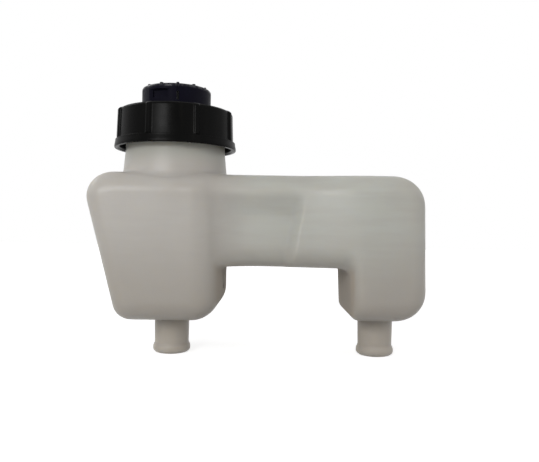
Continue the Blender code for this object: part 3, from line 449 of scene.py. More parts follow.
def outward(mesh):
    """Turns a closed mesh's faces outward: all are flipped if the sum of a . (b x c) is below 0."""
    mesh.calc_loop_triangles()
    corners = np.zeros(len(mesh.loop_triangles) * 3, np.int32)
    mesh.loop_triangles.foreach_get("vertices", corners)
    place = np.zeros(len(mesh.vertices) * 3)
    mesh.vertices.foreach_get("co", place)
    a, b, c = place.reshape(-1, 3)[corners.reshape(-1, 3)].transpose(1, 0, 2)
    if np.einsum("ij,ij->", a, np.cross(b, c)) < 0.0:
        mesh.flip_normals()
    return mesh


def smoothed(mesh, sharp_angle):
    """Shades a mesh smooth, but for edges where its faces turn by more than an angle in degrees."""
    mesh.shade_smooth()
    mesh.set_sharp_from_angle(angle=math.radians(sharp_angle))
    return mesh


def carved(name, base, steps, sharp_angle=30.0):
    """A piece made from a closed mesh, in steps that join closed meshes to it or cut them out."""
    blank = placed("blank", outward(base))
    helpers = [blank]
    for operation, meshes in steps:
        for mesh in meshes:
            modifier = blank.modifiers.new("step", "BOOLEAN")
            modifier.operation = operation
            modifier.solver = "MANIFOLD"
            modifier.object = placed("helper", outward(mesh))
            helpers.append(modifier.object)
    evaluated = blank.evaluated_get(bpy.context.evaluated_depsgraph_get())
    final = bpy.data.meshes.new_from_object(evaluated)
    for helper in helpers:
        bpy.data.objects.remove(helper)
    final.materials.clear()
    return placed(name, smoothed(final, sharp_angle))


NECK_RADIUS = 0.0204
NECK_ROOT_RADIUS = 0.0212
NECK_RIM_Z = 0.0932
NECK_BORE_RADIUS = 0.0180
NECK_FOOT_FILLET = 0.0024
RIM_ROUNDING = 0.0004
THREAD_PITCH = 0.0040
THREAD_HEIGHT = 0.0014
THREAD_ROOT_WIDTH = 0.0022
THREAD_CREST_WIDTH = 0.0008
NECK_THREAD_Z = 0.0858
NECK_THREAD_TURNS = 1.5
THREAD_RUN_OUT = 1.0 / 6.0
NECK_STEPS = 240
NECK_ROWS = 110
NECK_BURIED_IN = (0.0030, 0.0010, 0.0)
NECK_BURIED_BELOW = (0.0040, 0.0030, 0.00006)


def thread_height(turn, height, helix_z, start_turn, turns):
    """How far a screw thread stands out at a place: a ridge with sloping flanks and a rounded crest.

    The ridge's middle is at helix_z + pitch * turn on each winding; e is the distance from the
    nearest one. The height is H * clip((root/2 - e) / (root/2 - crest/2), 0, 1), softened by the
    ramp, and falls to nothing over the last sixth of a turn at both ends.
    """
    winding = np.round((height - helix_z) / THREAD_PITCH - turn)
    along = turn + winding
    off = np.abs(height - helix_z - THREAD_PITCH * along)
    flank = ramp(-off, -THREAD_ROOT_WIDTH / 2, -THREAD_CREST_WIDTH / 2)
    ends = ramp(np.minimum(along - start_turn, start_turn + turns - along), 0.0, THREAD_RUN_OUT)
    return THREAD_HEIGHT * flank * ends


def tank_top_z(form, x, y):
    """The tank top's height at a place in plan: top(x) - r + sqrt(r^2 - (|y| - (depth - r))^2).

    The depth is the one at that height, so both are found by turns.
    """
    top = form.part(form.outer, 1.0, 3.5)
    level = np.interp(x, top[0], top[1])
    z = level
    for _ in range(12):
        past = np.clip(np.abs(y) - (form.half_depth(x, z) - TOP_EDGE), 0.0, TOP_EDGE)
        z = level - TOP_EDGE + np.sqrt(TOP_EDGE * TOP_EDGE - past * past)
    return z


def bend(a, b, c, t):
    """A curve from a to c that leaves and meets the lines to b: (1-t)^2 a + 2t(1-t) b + t^2 c."""
    return (1 - t) ** 2 * a + 2 * t * (1 - t) * b + t ** 2 * c


def neck_mesh(form):
    """The neck as a closed form: rim, wall with its thread, and a bent foot down onto the tank.

    The foot's curve ends on the tank's top, and so follows it as it falls away to front and back.
    """
    turn = np.arange(NECK_STEPS) / NECK_STEPS
    around = np.stack((np.cos(math.tau * turn), np.sin(math.tau * turn)))

    def top_at(radius):
        return tank_top_z(form, NECK_X + radius * around[0], radius * around[1])

    outer = NECK_ROOT_RADIUS + NECK_FOOT_FILLET
    corner_z, outer_z = top_at(NECK_ROOT_RADIUS), top_at(outer)
    t = np.linspace(1.0, 0.0, 9)[:, None]
    foot_radius = bend(NECK_ROOT_RADIUS, NECK_ROOT_RADIUS, outer, t)
    foot_z = bend(corner_z + NECK_FOOT_FILLET, corner_z, outer_z, t)
    under_radius = outer - np.array(NECK_BURIED_IN)[:, None]
    under_z = outer_z - np.array(NECK_BURIED_BELOW)[:, None]
    low = foot_z[-1]
    high = NECK_RIM_Z - RIM_ROUNDING
    share = np.linspace(0.0, 1.0, NECK_ROWS)[1:, None]
    wall_z = low + (high - low) * share
    plain = NECK_ROOT_RADIUS + (NECK_RADIUS - NECK_ROOT_RADIUS) * np.clip(
        (wall_z - low) / (NECK_THREAD_Z - THREAD_ROOT_WIDTH - low), 0.0, 1.0)
    wall_radius = plain + thread_height(turn, wall_z, NECK_THREAD_Z, 0.0, NECK_THREAD_TURNS)
    angle = np.linspace(0.0, math.pi / 2, 5)[1:, None]
    rim_radius = NECK_RADIUS - RIM_ROUNDING * (1.0 - np.cos(angle))
    rim_z = high + RIM_ROUNDING * np.sin(angle)
    level = np.ones(NECK_STEPS)
    radii = (under_radius, foot_radius, wall_radius, rim_radius)
    radius = np.concatenate([part * level for part in radii])
    height = np.concatenate([part * level for part in (under_z, foot_z, wall_z, rim_z)])
    points = np.stack((NECK_X + radius * around[0], radius * around[1], height), axis=-1)
    return grid_mesh(points)


def rounded_profile(corners, steps=5):
    """A profile of corners (radius, height, rounding), each bent from and to points that lie the
    rounding away on the lines to its neighbours. A corner without rounding stays as it is.
    """
    corners = np.array(corners, float)
    places = []
    for k, (radius, height, rounding) in enumerate(corners):
        here = np.array((radius, height))
        if rounding == 0.0 or k in (0, len(corners) - 1):
            places.append(here[None])
            continue
        before, after = corners[k - 1, :2] - here, corners[k + 1, :2] - here
        a = here + before / np.hypot(*before) * rounding
        c = here + after / np.hypot(*after) * rounding
        places.append(bend(a, here, c, np.linspace(0.0, 1.0, steps)[:, None]))
    return np.concatenate(places)


def turned(profile, steps, centre_x=NECK_X):
    """A solid of revolution from a profile, closed at both ends, on the neck's axis or another."""
    return grid_mesh(turned_points(profile, steps, centre_x))


SPIGOTS = ((-0.0353, FILLER_FLOOR_Z), (0.0497, SMALL_FLOOR_Z))
SPIGOT_STEPS = 96
SPIGOT_RADIUS = 0.0070
SPIGOT_ROOT_RADIUS = 0.0072
SPIGOT_FOOT_RADIUS = 0.0088
SPIGOT_BORE_RADIUS = 0.0048
SPIGOT_BEVEL = 0.0006
BEAD_RADIUS = 0.0077
BEAD_END_RADIUS = 0.0065
BEAD_LOW_Z, BEAD_HIGH_Z, BEAD_BACK_Z = 0.0010, 0.0029, 0.0041
BORE_START_BELOW_TOP = 0.0075
CUT_PAST = 0.0020
TANK_FINENESS, TANK_COUNTS = 5, (4, 12, 12, 16, 16, 20, 12)
CAVITY_FINENESS, CAVITY_COUNTS = 2, (3, 6, 6, 8, 8, 8, 6)
TANK_SHARP_ANGLE = 32.0

form = TankForm(0.0)
shell = merged(grid_mesh(form.rows(TANK_FINENESS, TANK_COUNTS)))
cavity = merged(grid_mesh(TankForm(WALL).rows(CAVITY_FINENESS, CAVITY_COUNTS)))
bore = ((NECK_BORE_RADIUS, TANK_TOP_Z - BORE_START_BELOW_TOP),
        (NECK_BORE_RADIUS, NECK_RIM_Z - RIM_ROUNDING),
        (NECK_BORE_RADIUS + 1.5 * RIM_ROUNDING, NECK_RIM_Z + RIM_ROUNDING / 2))
additions, cuts = [neck_mesh(form)], [cavity, turned(bore, NECK_STEPS)]
for x, floor_z in SPIGOTS:
    profile = rounded_profile((
        (0.0030, 0.0, 0.0),
        (BEAD_END_RADIUS, 0.0, 0.0006),
        (BEAD_RADIUS, BEAD_LOW_Z, 0.0007),
        (BEAD_RADIUS, BEAD_HIGH_Z, 0.0008),
        (SPIGOT_RADIUS, BEAD_BACK_Z, 0.0006),
        (SPIGOT_ROOT_RADIUS, floor_z, 0.0012),
        (SPIGOT_FOOT_RADIUS, floor_z + 0.00002, 0.0),
        (0.0080, floor_z + WALL / 2, 0.0),
    ), 7)
    additions.append(turned(profile, SPIGOT_STEPS, x))
    bore = ((SPIGOT_BORE_RADIUS + SPIGOT_BEVEL, -SPIGOT_BEVEL / 2),
            (SPIGOT_BORE_RADIUS, SPIGOT_BEVEL),
            (SPIGOT_BORE_RADIUS, floor_z + WALL + CUT_PAST))
    cuts.append(turned(bore, SPIGOT_STEPS, x))
steps = (("UNION", additions), ("DIFFERENCE", cuts))
tank = carved("tank_moulding", shell, steps, TANK_SHARP_ANGLE)


def adjust(node, values):
    """Gives a node's inputs their values, each a plain one or another node's output to link."""
    for label, value in values.items():
        if isinstance(value, bpy.types.NodeSocket):
            node.id_data.links.new(value, node.inputs[label])
        else:
            node.inputs[label].default_value = value


def added(tree, kind, values, **settings):
    """A new shader node of a kind, with its settings and its inputs' values."""
    node = tree.nodes.new("ShaderNode" + kind)
    for name, setting in settings.items():
        setattr(node, name, setting)
    adjust(node, values)
    return node


def noise(tree, place, scale, detail, stretch=(1.0, 1.0, 1.0)):
    """A noise texture's value, with the coordinates multiplied by a factor on each axis."""
    place = added(tree, "Mapping", {"Vector": place, "Scale": stretch}).outputs["Vector"]
    values = {"Vector": place, "Scale": scale, "Detail": detail}
    return added(tree, "TexNoise", values).outputs["Fac"]


def mapped(tree, value, span, to_low=0.0, to_high=1.0):
    """A value's span, from its first end to its second, laid onto to_low to to_high."""
    values = {"Value": value, "From Min": span[0], "From Max": span[1], "To Min": to_low,
              "To Max": to_high}
    return added(tree, "MapRange", values, interpolation_type="SMOOTHSTEP").outputs["Result"]


def joined(tree, operation, first, second):
    """Two values made into one by a Math node's operation, such as MULTIPLY or MAXIMUM."""
    return added(tree, "Math", {0: first, 1: second}, operation=operation).outputs["Value"]


MIX_FACTOR, MIX_FIRST, MIX_SECOND, MIX_RESULT = 0, 6, 7, 2


def between(tree, factor, first, second):
    """A colour between two others, by a factor."""
    values = {MIX_FACTOR: factor, MIX_FIRST: first, MIX_SECOND: second}
    return added(tree, "Mix", values, data_type="RGBA").outputs[MIX_RESULT]


def along(tree, place, axis):
    """A place's measure along one axis."""
    return added(tree, "SeparateXYZ", {"Vector": place}).outputs[axis]


def principled(name, specular):
    """A new material, its node tree, its Principled shader and its object coordinates."""
    material = bpy.data.materials.new(name)
    material.use_nodes = True
    tree = material.node_tree
    shader = tree.nodes["Principled BSDF"]
    adjust(shader, {"Specular IOR Level": specular})
    return material, tree, shader, added(tree, "TexCoord", {}).outputs["Object"]


# Moulded skin: the fine unevenness that a steel mould leaves on plastic. Height is its grain, for a
# bump, and Patches a slow variation of gloss.
moulded_skin = bpy.data.node_groups.new("moulded_skin", "ShaderNodeTree")
skin_in = moulded_skin.nodes.new("NodeGroupInput")
skin_out = moulded_skin.nodes.new("NodeGroupOutput")
skin_place = added(moulded_skin, "TexCoord", {}).outputs["Object"]
for label, output in (("Grain Scale", "Height"), ("Patch Scale", "Patches")):
    moulded_skin.interface.new_socket(label, in_out="INPUT", socket_type="NodeSocketFloat")
    moulded_skin.interface.new_socket(output, in_out="OUTPUT", socket_type="NodeSocketFloat")
    values = {"Vector": skin_place, "Scale": skin_in.outputs[label], "Detail": 3.0}
    adjust(skin_out, {output: added(moulded_skin, "TexNoise", values).outputs["Fac"]})
PATCH_SPAN = (0.35, 0.65)


def dress(tree, shader, grain_scale, patch_scale, depth, roughness, matt=None):
    """Puts the moulded skin on a material: bump of a depth in metres, and roughness in patches.

    The roughness runs between its two values, and where a matt value is given, it is at least that.
    """
    scales = {"Grain Scale": grain_scale, "Patch Scale": patch_scale}
    skin = added(tree, "Group", scales, node_tree=moulded_skin).outputs
    bump = added(tree, "Bump", {"Strength": 1.0, "Distance": depth, "Height": skin["Height"]})
    gloss = mapped(tree, skin["Patches"], PATCH_SPAN, *roughness)
    if matt is not None:
        gloss = joined(tree, "MAXIMUM", gloss, matt)
    adjust(shader, {"Normal": bump.outputs["Normal"], "Roughness": gloss})


TANK_COLOUR = (0.510, 0.486, 0.450, 1.0)
TANK_SHADE = (0.440, 0.408, 0.370, 1.0)
TANK_BRIDGE_COLOUR = (0.532, 0.536, 0.488, 1.0)
# Painted shade: the tank's colour darkens from about the bridge's height down to its floor.
TANK_FOOT_PAINTED_SHADE = (0.415, 0.384, 0.344, 1.0)
# Painted shade: the spigots darker below the tank's floor.
SPIGOT_PAINTED_SHADE = (0.482, 0.440, 0.386, 1.0)
# Painted shade on the two facing walls of the gap under the bridge; the same mask also makes them
# matt.
GAP_PAINTED_SHADE = (0.400, 0.352, 0.298, 1.0)
# Painted shade: the neck darker from the tank's top up under the ring.
NECK_PAINTED_SHADE = (0.435, 0.428, 0.385, 1.0)
BRIDGE_TINT_X = (-0.020, 0.004)
FOOT_SHADE_Z = (0.060, 0.018)
SPIGOT_SHADE_Z = (0.017, 0.009)
NECK_SHADE_Z = (0.0750, 0.0820)
GAP_SHADE_LEFT_X = (GAP_LEFT_X - 0.0030, GAP_LEFT_X - 0.0003)
GAP_SHADE_RIGHT_X = (GAP_RIGHT_X + 0.0020, GAP_RIGHT_X + 0.0008)
GAP_SHADE_Z = (0.0390, 0.0345)
GAP_SHADE_STRENGTH = 0.85
SOFT_NOISE_SPAN = (0.35, 0.70)
CLOUD_SCALE = 28.0
CLOUD_STRENGTH = 0.45
FLOW_SCALE = 160.0
FLOW_STRETCH = (0.25, 1.0, 2.2)
FLOW_STRENGTH = 0.22

tank_plastic, tree, shader, place = principled("natural_polypropylene", specular=0.34)
height, across = along(tree, place, "Z"), along(tree, place, "X")
cloud = noise(tree, place, CLOUD_SCALE, detail=3.0)
cloud = mapped(tree, cloud, SOFT_NOISE_SPAN, 0.0, CLOUD_STRENGTH)
flow = noise(tree, place, FLOW_SCALE, detail=2.0, stretch=FLOW_STRETCH)
flow = mapped(tree, flow, SOFT_NOISE_SPAN, 0.0, FLOW_STRENGTH)
# Painted shade and matt: a mask on the gap's facing walls, below the bridge.
left, right = mapped(tree, across, GAP_SHADE_LEFT_X), mapped(tree, across, GAP_SHADE_RIGHT_X)
gap_shade_and_matt = joined(tree, "MULTIPLY", joined(tree, "MULTIPLY", left, right),
                   mapped(tree, height, GAP_SHADE_Z, 0.0, GAP_SHADE_STRENGTH))
colour = TANK_COLOUR
for mask, tint in (
    (mapped(tree, across, BRIDGE_TINT_X), TANK_BRIDGE_COLOUR),
    (cloud, TANK_SHADE),
    (flow, TANK_SHADE),
    # painted shade, darker towards the tank's floor
    (mapped(tree, height, FOOT_SHADE_Z), TANK_FOOT_PAINTED_SHADE),
    # painted shade in the gap under the bridge
    (gap_shade_and_matt, GAP_PAINTED_SHADE),
    # painted shade on the neck under the ring
    (mapped(tree, height, NECK_SHADE_Z), NECK_PAINTED_SHADE),
    # painted shade, darker on the spigots under the tank
    (mapped(tree, height, SPIGOT_SHADE_Z), SPIGOT_PAINTED_SHADE),
):
    colour = between(tree, mask, colour, tint)
adjust(shader, {"Base Color": colour, "Subsurface Weight": 0.70, "Subsurface Scale": 0.006,
                "Subsurface Radius": (1.0, 0.9, 0.7)})
dress(tree, shader, grain_scale=900.0, patch_scale=45.0, depth=0.00002, roughness=(0.34, 0.48),
      matt=gap_shade_and_matt)
tank.data.materials.append(tank_plastic)
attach(tank, "tank")
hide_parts("tank")


# Strainer, a white moulded basket that hangs by its flange on the neck's rim and catches dirt as
# fluid is poured in. It lies loose, held down by the gasket.
STRAINER_Z = 0.0935
STRAINER_TOP_Z = 0.0944
STRAINER_BOTTOM_Z = 0.0704
STRAINER_FLANGE_RADIUS = 0.0200
STRAINER_RADIUS = 0.0158
STRAINER_BOTTOM_RADIUS = 0.0128
STRAINER_WALL = 0.0012
STRAINER_STRAIGHT = 0.0010
STRAINER_STEPS = 224
SLOT_COUNT = 14
SLOT_DISTANCE = 0.0137
SLOT_DEPTH = 0.0066
SLOT_WIDTH = 0.0022
SLOT_LOW, SLOT_HIGH = STRAINER_BOTTOM_Z + 0.0030, STRAINER_TOP_Z - 0.0060
HOLE_COUNT = 6
HOLE_DISTANCE = 0.0070
HOLE_RADIUS = 0.0016
HOLE_LOW, HOLE_HIGH = STRAINER_BOTTOM_Z - 0.0010, STRAINER_BOTTOM_Z + 0.0024
HOLE_STEPS = 24


def in_plan(direction, distance):
    """A point in plan at a distance from the neck's axis, its direction turned from the front."""
    angle = math.radians(direction)
    return NECK_X + distance * math.sin(angle), -distance * math.cos(angle)


def block(direction, distance, length, width, low, high, rounding=1e-5):
    """An upright block with rounded plan corners, at a place about the neck's axis.

    Its plan is a rectangle of half sizes a and b, whose corner quarter circles of radius r are
    (a - r + r cos t, b - r + r sin t), turned so that its length runs along the direction.
    """
    angle = np.linspace(0.0, math.pi / 2, 6) + np.arange(4)[:, None] * math.pi / 2
    sign_a, sign_b = np.array(((1, -1, -1, 1), (1, 1, -1, -1)))[:, :, None]
    a = (sign_a * (length / 2 - rounding) + rounding * np.cos(angle)).ravel()
    b = (sign_b * (width / 2 - rounding) + rounding * np.sin(angle)).ravel()
    centre_x, centre_y = in_plan(direction, distance)
    way_x, way_y = math.sin(math.radians(direction)), -math.cos(math.radians(direction))
    x = centre_x + a * way_x - b * way_y
    y = centre_y + a * way_y + b * way_x
    plan = [np.stack((x, y, np.full(len(x), z)), axis=-1) for z in (low, high)]
    return grid_mesh(np.stack(plan))


basket = rounded_profile((
    (0.0060, STRAINER_BOTTOM_Z, 0.0),
    (STRAINER_BOTTOM_RADIUS, STRAINER_BOTTOM_Z, 0.0006),
    (STRAINER_RADIUS, STRAINER_Z - STRAINER_STRAIGHT, 0.0002),
    (STRAINER_RADIUS, STRAINER_Z, 0.0002),
    (STRAINER_FLANGE_RADIUS, STRAINER_Z, 0.0002),
    (STRAINER_FLANGE_RADIUS, STRAINER_TOP_Z, 0.0002),
    (0.0150, STRAINER_TOP_Z, 0.0),
))
hollow = rounded_profile((
    (0.0050, STRAINER_BOTTOM_Z + STRAINER_WALL, 0.0),
    (STRAINER_BOTTOM_RADIUS - STRAINER_WALL, STRAINER_BOTTOM_Z + STRAINER_WALL, 0.0006),
    (STRAINER_RADIUS - STRAINER_WALL, STRAINER_Z - STRAINER_STRAIGHT, 0.0002),
    (STRAINER_RADIUS - STRAINER_WALL, STRAINER_TOP_Z + CUT_PAST, 0.0),
))
cuts = [turned(hollow, STRAINER_STEPS)]
for k in range(SLOT_COUNT):
    direction = 360.0 * (k + 0.5) / SLOT_COUNT
    cuts.append(block(direction, SLOT_DISTANCE, SLOT_DEPTH, SLOT_WIDTH, SLOT_LOW, SLOT_HIGH))
for k in range(HOLE_COUNT):
    x, y = in_plan(360.0 / HOLE_COUNT * k, HOLE_DISTANCE)
    hole = turned_points(((HOLE_RADIUS, HOLE_LOW), (HOLE_RADIUS, HOLE_HIGH)), HOLE_STEPS, x)
    cuts.append(grid_mesh(hole + np.array((0.0, y, 0.0))))
strainer = carved("strainer_basket", turned(basket, STRAINER_STEPS), [("DIFFERENCE", cuts)])

STRAINER_COLOUR = (0.66, 0.65, 0.60, 1.0)
STRAINER_SHADE = (0.58, 0.565, 0.51, 1.0)

strainer_plastic, tree, shader, place = principled("white_polypropylene", specular=0.4)
tint = mapped(tree, noise(tree, place, scale=90.0, detail=3.0), SOFT_NOISE_SPAN)
adjust(shader, {"Base Color": between(tree, tint, STRAINER_COLOUR, STRAINER_SHADE)})
dress(tree, shader, grain_scale=1200.0, patch_scale=80.0, depth=0.00001, roughness=(0.38, 0.52))
strainer.data.materials.append(strainer_plastic)
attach(strainer, "tank")
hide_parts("strainer")


# Gasket, a flat ring moulded in black rubber, with a fine round on its edges. It lies between the
# strainer's flange and the inner cap, and comes away with the cap.
GASKET_Z = 0.0947
GASKET_TOP_Z = 0.0960
GASKET_BORE_RADIUS = 0.0152
GASKET_RADIUS = 0.0200
GASKET_ROUND = 0.0002
GASKET_STEPS = 192

middle_z = (GASKET_Z + GASKET_TOP_Z) / 2
section = rounded_profile((
    (GASKET_BORE_RADIUS, middle_z, 0.0),
    (GASKET_BORE_RADIUS, GASKET_Z, GASKET_ROUND),
    (GASKET_RADIUS, GASKET_Z, GASKET_ROUND),
    (GASKET_RADIUS, GASKET_TOP_Z, GASKET_ROUND),
    (GASKET_BORE_RADIUS, GASKET_TOP_Z, GASKET_ROUND),
    (GASKET_BORE_RADIUS, middle_z + 0.00001, 0.0),
))
gasket_mesh = grid_mesh(turned_points(section, GASKET_STEPS, NECK_X), closed_rows=True)
gasket = placed("rubber_gasket", smoothed(outward(gasket_mesh), sharp_angle=40.0))

RUBBER_COLOUR = (0.008, 0.008, 0.008, 1.0)
RUBBER_DUST_COLOUR = (0.024, 0.023, 0.021, 1.0)
DUST_SPAN = (0.45, 0.75)

rubber, tree, shader, place = principled("black_rubber", specular=0.3)
dust = mapped(tree, noise(tree, place, scale=260.0, detail=4.0), DUST_SPAN)
adjust(shader, {"Base Color": between(tree, dust, RUBBER_COLOUR, RUBBER_DUST_COLOUR)})
dress(tree, shader, grain_scale=2600.0, patch_scale=120.0, depth=0.00002, roughness=(0.68, 0.85))
gasket.data.materials.append(rubber)
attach(gasket, "inner_cap")
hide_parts("neck_gasket")


# Splash baffle, a thin moulded disc with one small hole off its middle, snapped into a groove in the
# cap's skirt. It lets air through to the vent, and keeps the fluid's splashes from it.
BAFFLE_Z = 0.0923
BAFFLE_THICKNESS = 0.0010
BAFFLE_RADIUS = 0.0122
BAFFLE_MIDDLE = 0.0004
BAFFLE_STEPS = 128
AIR_HOLE_RADIUS = 0.0010
AIR_HOLE_X = NECK_X + 0.0070
AIR_HOLE_STEPS = 32

disc = rounded_profile((
    (BAFFLE_MIDDLE, BAFFLE_Z, 0.0),
    (BAFFLE_RADIUS, BAFFLE_Z, 0.0002),
    (BAFFLE_RADIUS, BAFFLE_Z + BAFFLE_THICKNESS, 0.0002),
    (BAFFLE_MIDDLE, BAFFLE_Z + BAFFLE_THICKNESS, 0.0),
))
air_hole = ((AIR_HOLE_RADIUS, BAFFLE_Z - 0.0010), (AIR_HOLE_RADIUS, BAFFLE_Z + CUT_PAST))
steps = [("DIFFERENCE", [turned(air_hole, AIR_HOLE_STEPS, AIR_HOLE_X)])]
baffle = carved("splash_baffle", turned(disc, BAFFLE_STEPS), steps)


def distance(tree, vector):
    """The length of a vector."""
    return added(tree, "VectorMath", {0: vector}, operation="LENGTH").outputs["Value"]


def axis_distance(tree, place):
    """A place's distance from the neck's upright axis: the length of (x - neck x, y)."""
    values = {0: place, 1: (1.0, 1.0, 0.0), 2: (-NECK_X, 0.0, 0.0)}
    flat = added(tree, "VectorMath", values, operation="MULTIPLY_ADD")
    return distance(tree, flat.outputs["Vector"])


CAP_COLOUR = (0.0018, 0.0015, 0.0062, 1.0)
CAP_WORN_COLOUR = (0.0070, 0.0070, 0.0170, 1.0)
SCUFF_SPAN = (0.55, 0.80)
SCUFF_STRENGTH = 0.6
CROWN_GLOSS_Z = (0.1074, 0.1086)
CROWN_GLOSS_RADIUS = (0.0130, 0.0138)
SPECKLE_SPAN = (0.42, 0.62)
SPECKLE_LEAST = 0.3

cap_plastic, tree, shader, place = principled("dark_blue_polypropylene", specular=0.05)
scuffs = noise(tree, place, scale=420.0, detail=4.0)
scuffs = mapped(tree, scuffs, SCUFF_SPAN, 0.0, SCUFF_STRENGTH)
adjust(shader, {"Base Color": between(tree, scuffs, CAP_COLOUR, CAP_WORN_COLOUR)})
dress(tree, shader, grain_scale=1500.0, patch_scale=110.0, depth=0.000012, roughness=(0.34, 0.52))
crown = mapped(tree, along(tree, place, "Z"), CROWN_GLOSS_Z)
rim = joined(tree, "MULTIPLY", crown, mapped(tree, axis_distance(tree, place), CROWN_GLOSS_RADIUS))
speckle = noise(tree, place, scale=700.0, detail=4.0)
speckle = mapped(tree, speckle, SPECKLE_SPAN, SPECKLE_LEAST)
adjust(shader, {"Coat Weight": joined(tree, "MULTIPLY", rim, speckle), "Coat Roughness": 0.22})
baffle.data.materials.append(cap_plastic)
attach(baffle, "inner_cap")
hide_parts("vent_baffle")


# Inner cap, one dark blue moulding: a flange that presses on the gasket, a skirt inside the strainer
# and a hollow knob through the ring. The knob has two finger flats, the front one with a recess, two
# vent slits and a ribbed crown, and it stays still while the ring is turned.
CAP_Z = 0.0963
FLANGE_TOP_Z = 0.0978
RING_TOP_Z = 0.0997
KNOB_TOP_Z = 0.1090
KNOB_RADIUS = 0.0142
FLANGE_RADIUS = 0.0210
SKIRT_RADIUS = 0.0139
SKIRT_LENGTH = 0.0050
CAP_WALL = 0.0020
CROWN_THICKNESS = 0.0022
BAFFLE_GROOVE_RADIUS = 0.0125
BAFFLE_GROOVE_LOW, BAFFLE_GROOVE_HIGH = CAP_Z - 0.0043, CAP_Z - 0.0027
FLAT_DIRECTION = -19.5
FLAT_DISTANCE = 0.0133
FLAT_ABOVE_RING = 0.0003
VENT_DIRECTION = 11.0
VENT_WIDTH = 0.0010
VENT_HEIGHT = 0.0035
NOTCH_DEPTH = 0.0006
NOTCH_WIDTH = 0.0066
NOTCH_Z = 0.1036
CROWN_RIB_COUNT = 12
CROWN_RIB_LENGTH = 0.0070
CROWN_RIB_WIDTH = 0.0011
CROWN_RIB_BACK = 0.0008
CROWN_RIB_HEIGHT = 0.00049
CROWN_RIB_ROUND = 0.0004
CAP_STEPS = 288

body = rounded_profile((
    (0.0110, CAP_Z - SKIRT_LENGTH, 0.0),
    (SKIRT_RADIUS, CAP_Z - SKIRT_LENGTH, 0.0003),
    (SKIRT_RADIUS, CAP_Z, 0.0002),
    (FLANGE_RADIUS, CAP_Z, 0.0003),
    (FLANGE_RADIUS, FLANGE_TOP_Z, 0.0003),
    (KNOB_RADIUS, FLANGE_TOP_Z, 0.0002),
    (KNOB_RADIUS, KNOB_TOP_Z, 0.0009),
    (0.0010, KNOB_TOP_Z, 0.0),
))
crown_z = KNOB_TOP_Z - CROWN_THICKNESS
inside = rounded_profile((
    (SKIRT_RADIUS - CAP_WALL, CAP_Z - 0.0060, 0.0),
    (SKIRT_RADIUS - CAP_WALL, BAFFLE_GROOVE_LOW, 0.0001),
    (BAFFLE_GROOVE_RADIUS, BAFFLE_GROOVE_LOW, 0.0001),
    (BAFFLE_GROOVE_RADIUS, BAFFLE_GROOVE_HIGH, 0.0001),
    (SKIRT_RADIUS - CAP_WALL, BAFFLE_GROOVE_HIGH, 0.0001),
    (SKIRT_RADIUS - CAP_WALL, crown_z, 0.0006),
    (0.0010, crown_z, 0.0),
))
flat_depth = 2 * (KNOB_RADIUS - FLAT_DISTANCE)
vent_top = crown_z - CAP_WALL / 2
cuts, ribs = [turned(inside, CAP_STEPS)], []
for turn in (0.0, 180.0):
    cuts.append(block(FLAT_DIRECTION + turn, FLAT_DISTANCE + flat_depth / 2, flat_depth,
                      2 * KNOB_RADIUS, RING_TOP_Z + FLAT_ABOVE_RING, crown_z))
for turn in (0.0, 180.0):
    cuts.append(block(VENT_DIRECTION + turn, KNOB_RADIUS, 3 * CAP_WALL, VENT_WIDTH,
                      vent_top - VENT_HEIGHT, vent_top))
cuts.append(block(FLAT_DIRECTION, FLAT_DISTANCE, 2 * NOTCH_DEPTH, NOTCH_WIDTH,
                  NOTCH_Z, crown_z - FLAT_ABOVE_RING))
cuts.append(block(VENT_DIRECTION, KNOB_RADIUS, 2 * NOTCH_DEPTH, VENT_WIDTH,
                  vent_top, KNOB_TOP_Z + CAP_WALL))
for k in range(CROWN_RIB_COUNT):
    ribs.append(block(VENT_DIRECTION + 360.0 / CROWN_RIB_COUNT * k,
                      KNOB_RADIUS - CROWN_RIB_BACK - CROWN_RIB_LENGTH / 2, CROWN_RIB_LENGTH,
                      CROWN_RIB_WIDTH, KNOB_TOP_Z - 0.0005, KNOB_TOP_Z + CROWN_RIB_HEIGHT,
                      CROWN_RIB_ROUND))
steps = (("DIFFERENCE", cuts), ("UNION", ribs))
cap = carved("inner_cap_moulding", turned(body, CAP_STEPS), steps)
cap.data.materials.append(cap_plastic)
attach(cap, "inner_cap")
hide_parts("inner_cap")


# Ring, moulded in black polypropylene: a thick wall with a few upright grip ribs, a flared lip with a
# ledge above it, a top with a round hole for the knob, and a thread inside that runs on the neck's.
RING_UNDERSIDE_Z = 0.0981
RING_BORE_RADIUS = 0.0222
RING_PANEL_RADIUS = 0.0239
RING_DRAFT = 0.0004
RING_TOP_ROUND = 0.0012
RIB_PROUD = 0.0008
RIB_COUNT = 8
RIB_HALF_WIDTH = 0.0009
RIB_FLANK = 0.0005
RIB_DIRECTION = 5.9
FLARE_Z = 0.0874
LIP_Z = 0.0841
LIP_RADIUS = 0.02504
LIP_EDGE = 0.0009
RING_HOLE_RADIUS = 0.0146
RING_THREAD_TURNS = 1.2
THREAD_CLEARANCE = 0.0003
RING_STEPS = 480
WALL_ROWS = 12
BORE_ROWS = 96

outside = rounded_profile((
    (RING_BORE_RADIUS + 0.0015, LIP_Z + 0.0002, 0.0),
    (LIP_RADIUS - 0.0014, LIP_Z, 0.0002),
    (LIP_RADIUS, LIP_Z, 0.0004),
    (LIP_RADIUS, LIP_Z + LIP_EDGE, 0.0004),
    (RING_PANEL_RADIUS + RIB_PROUD, FLARE_Z - 0.0006, 0.0003),
    (RING_PANEL_RADIUS + RIB_PROUD, FLARE_Z, 0.0002),
    (RING_PANEL_RADIUS, FLARE_Z, 0.0001),
), 6)
wall_z = np.linspace(FLARE_Z + 0.0002, RING_TOP_Z - RING_TOP_ROUND, WALL_ROWS)
wall_r = RING_PANEL_RADIUS - RING_DRAFT * (wall_z - FLARE_Z) / (RING_TOP_Z - FLARE_Z)
angle = np.linspace(0.0, math.pi / 2, 9)[1:]
top_r = wall_r[-1] - RING_TOP_ROUND * (1.0 - np.cos(angle))
top_z = RING_TOP_Z - RING_TOP_ROUND * (1.0 - np.sin(angle))
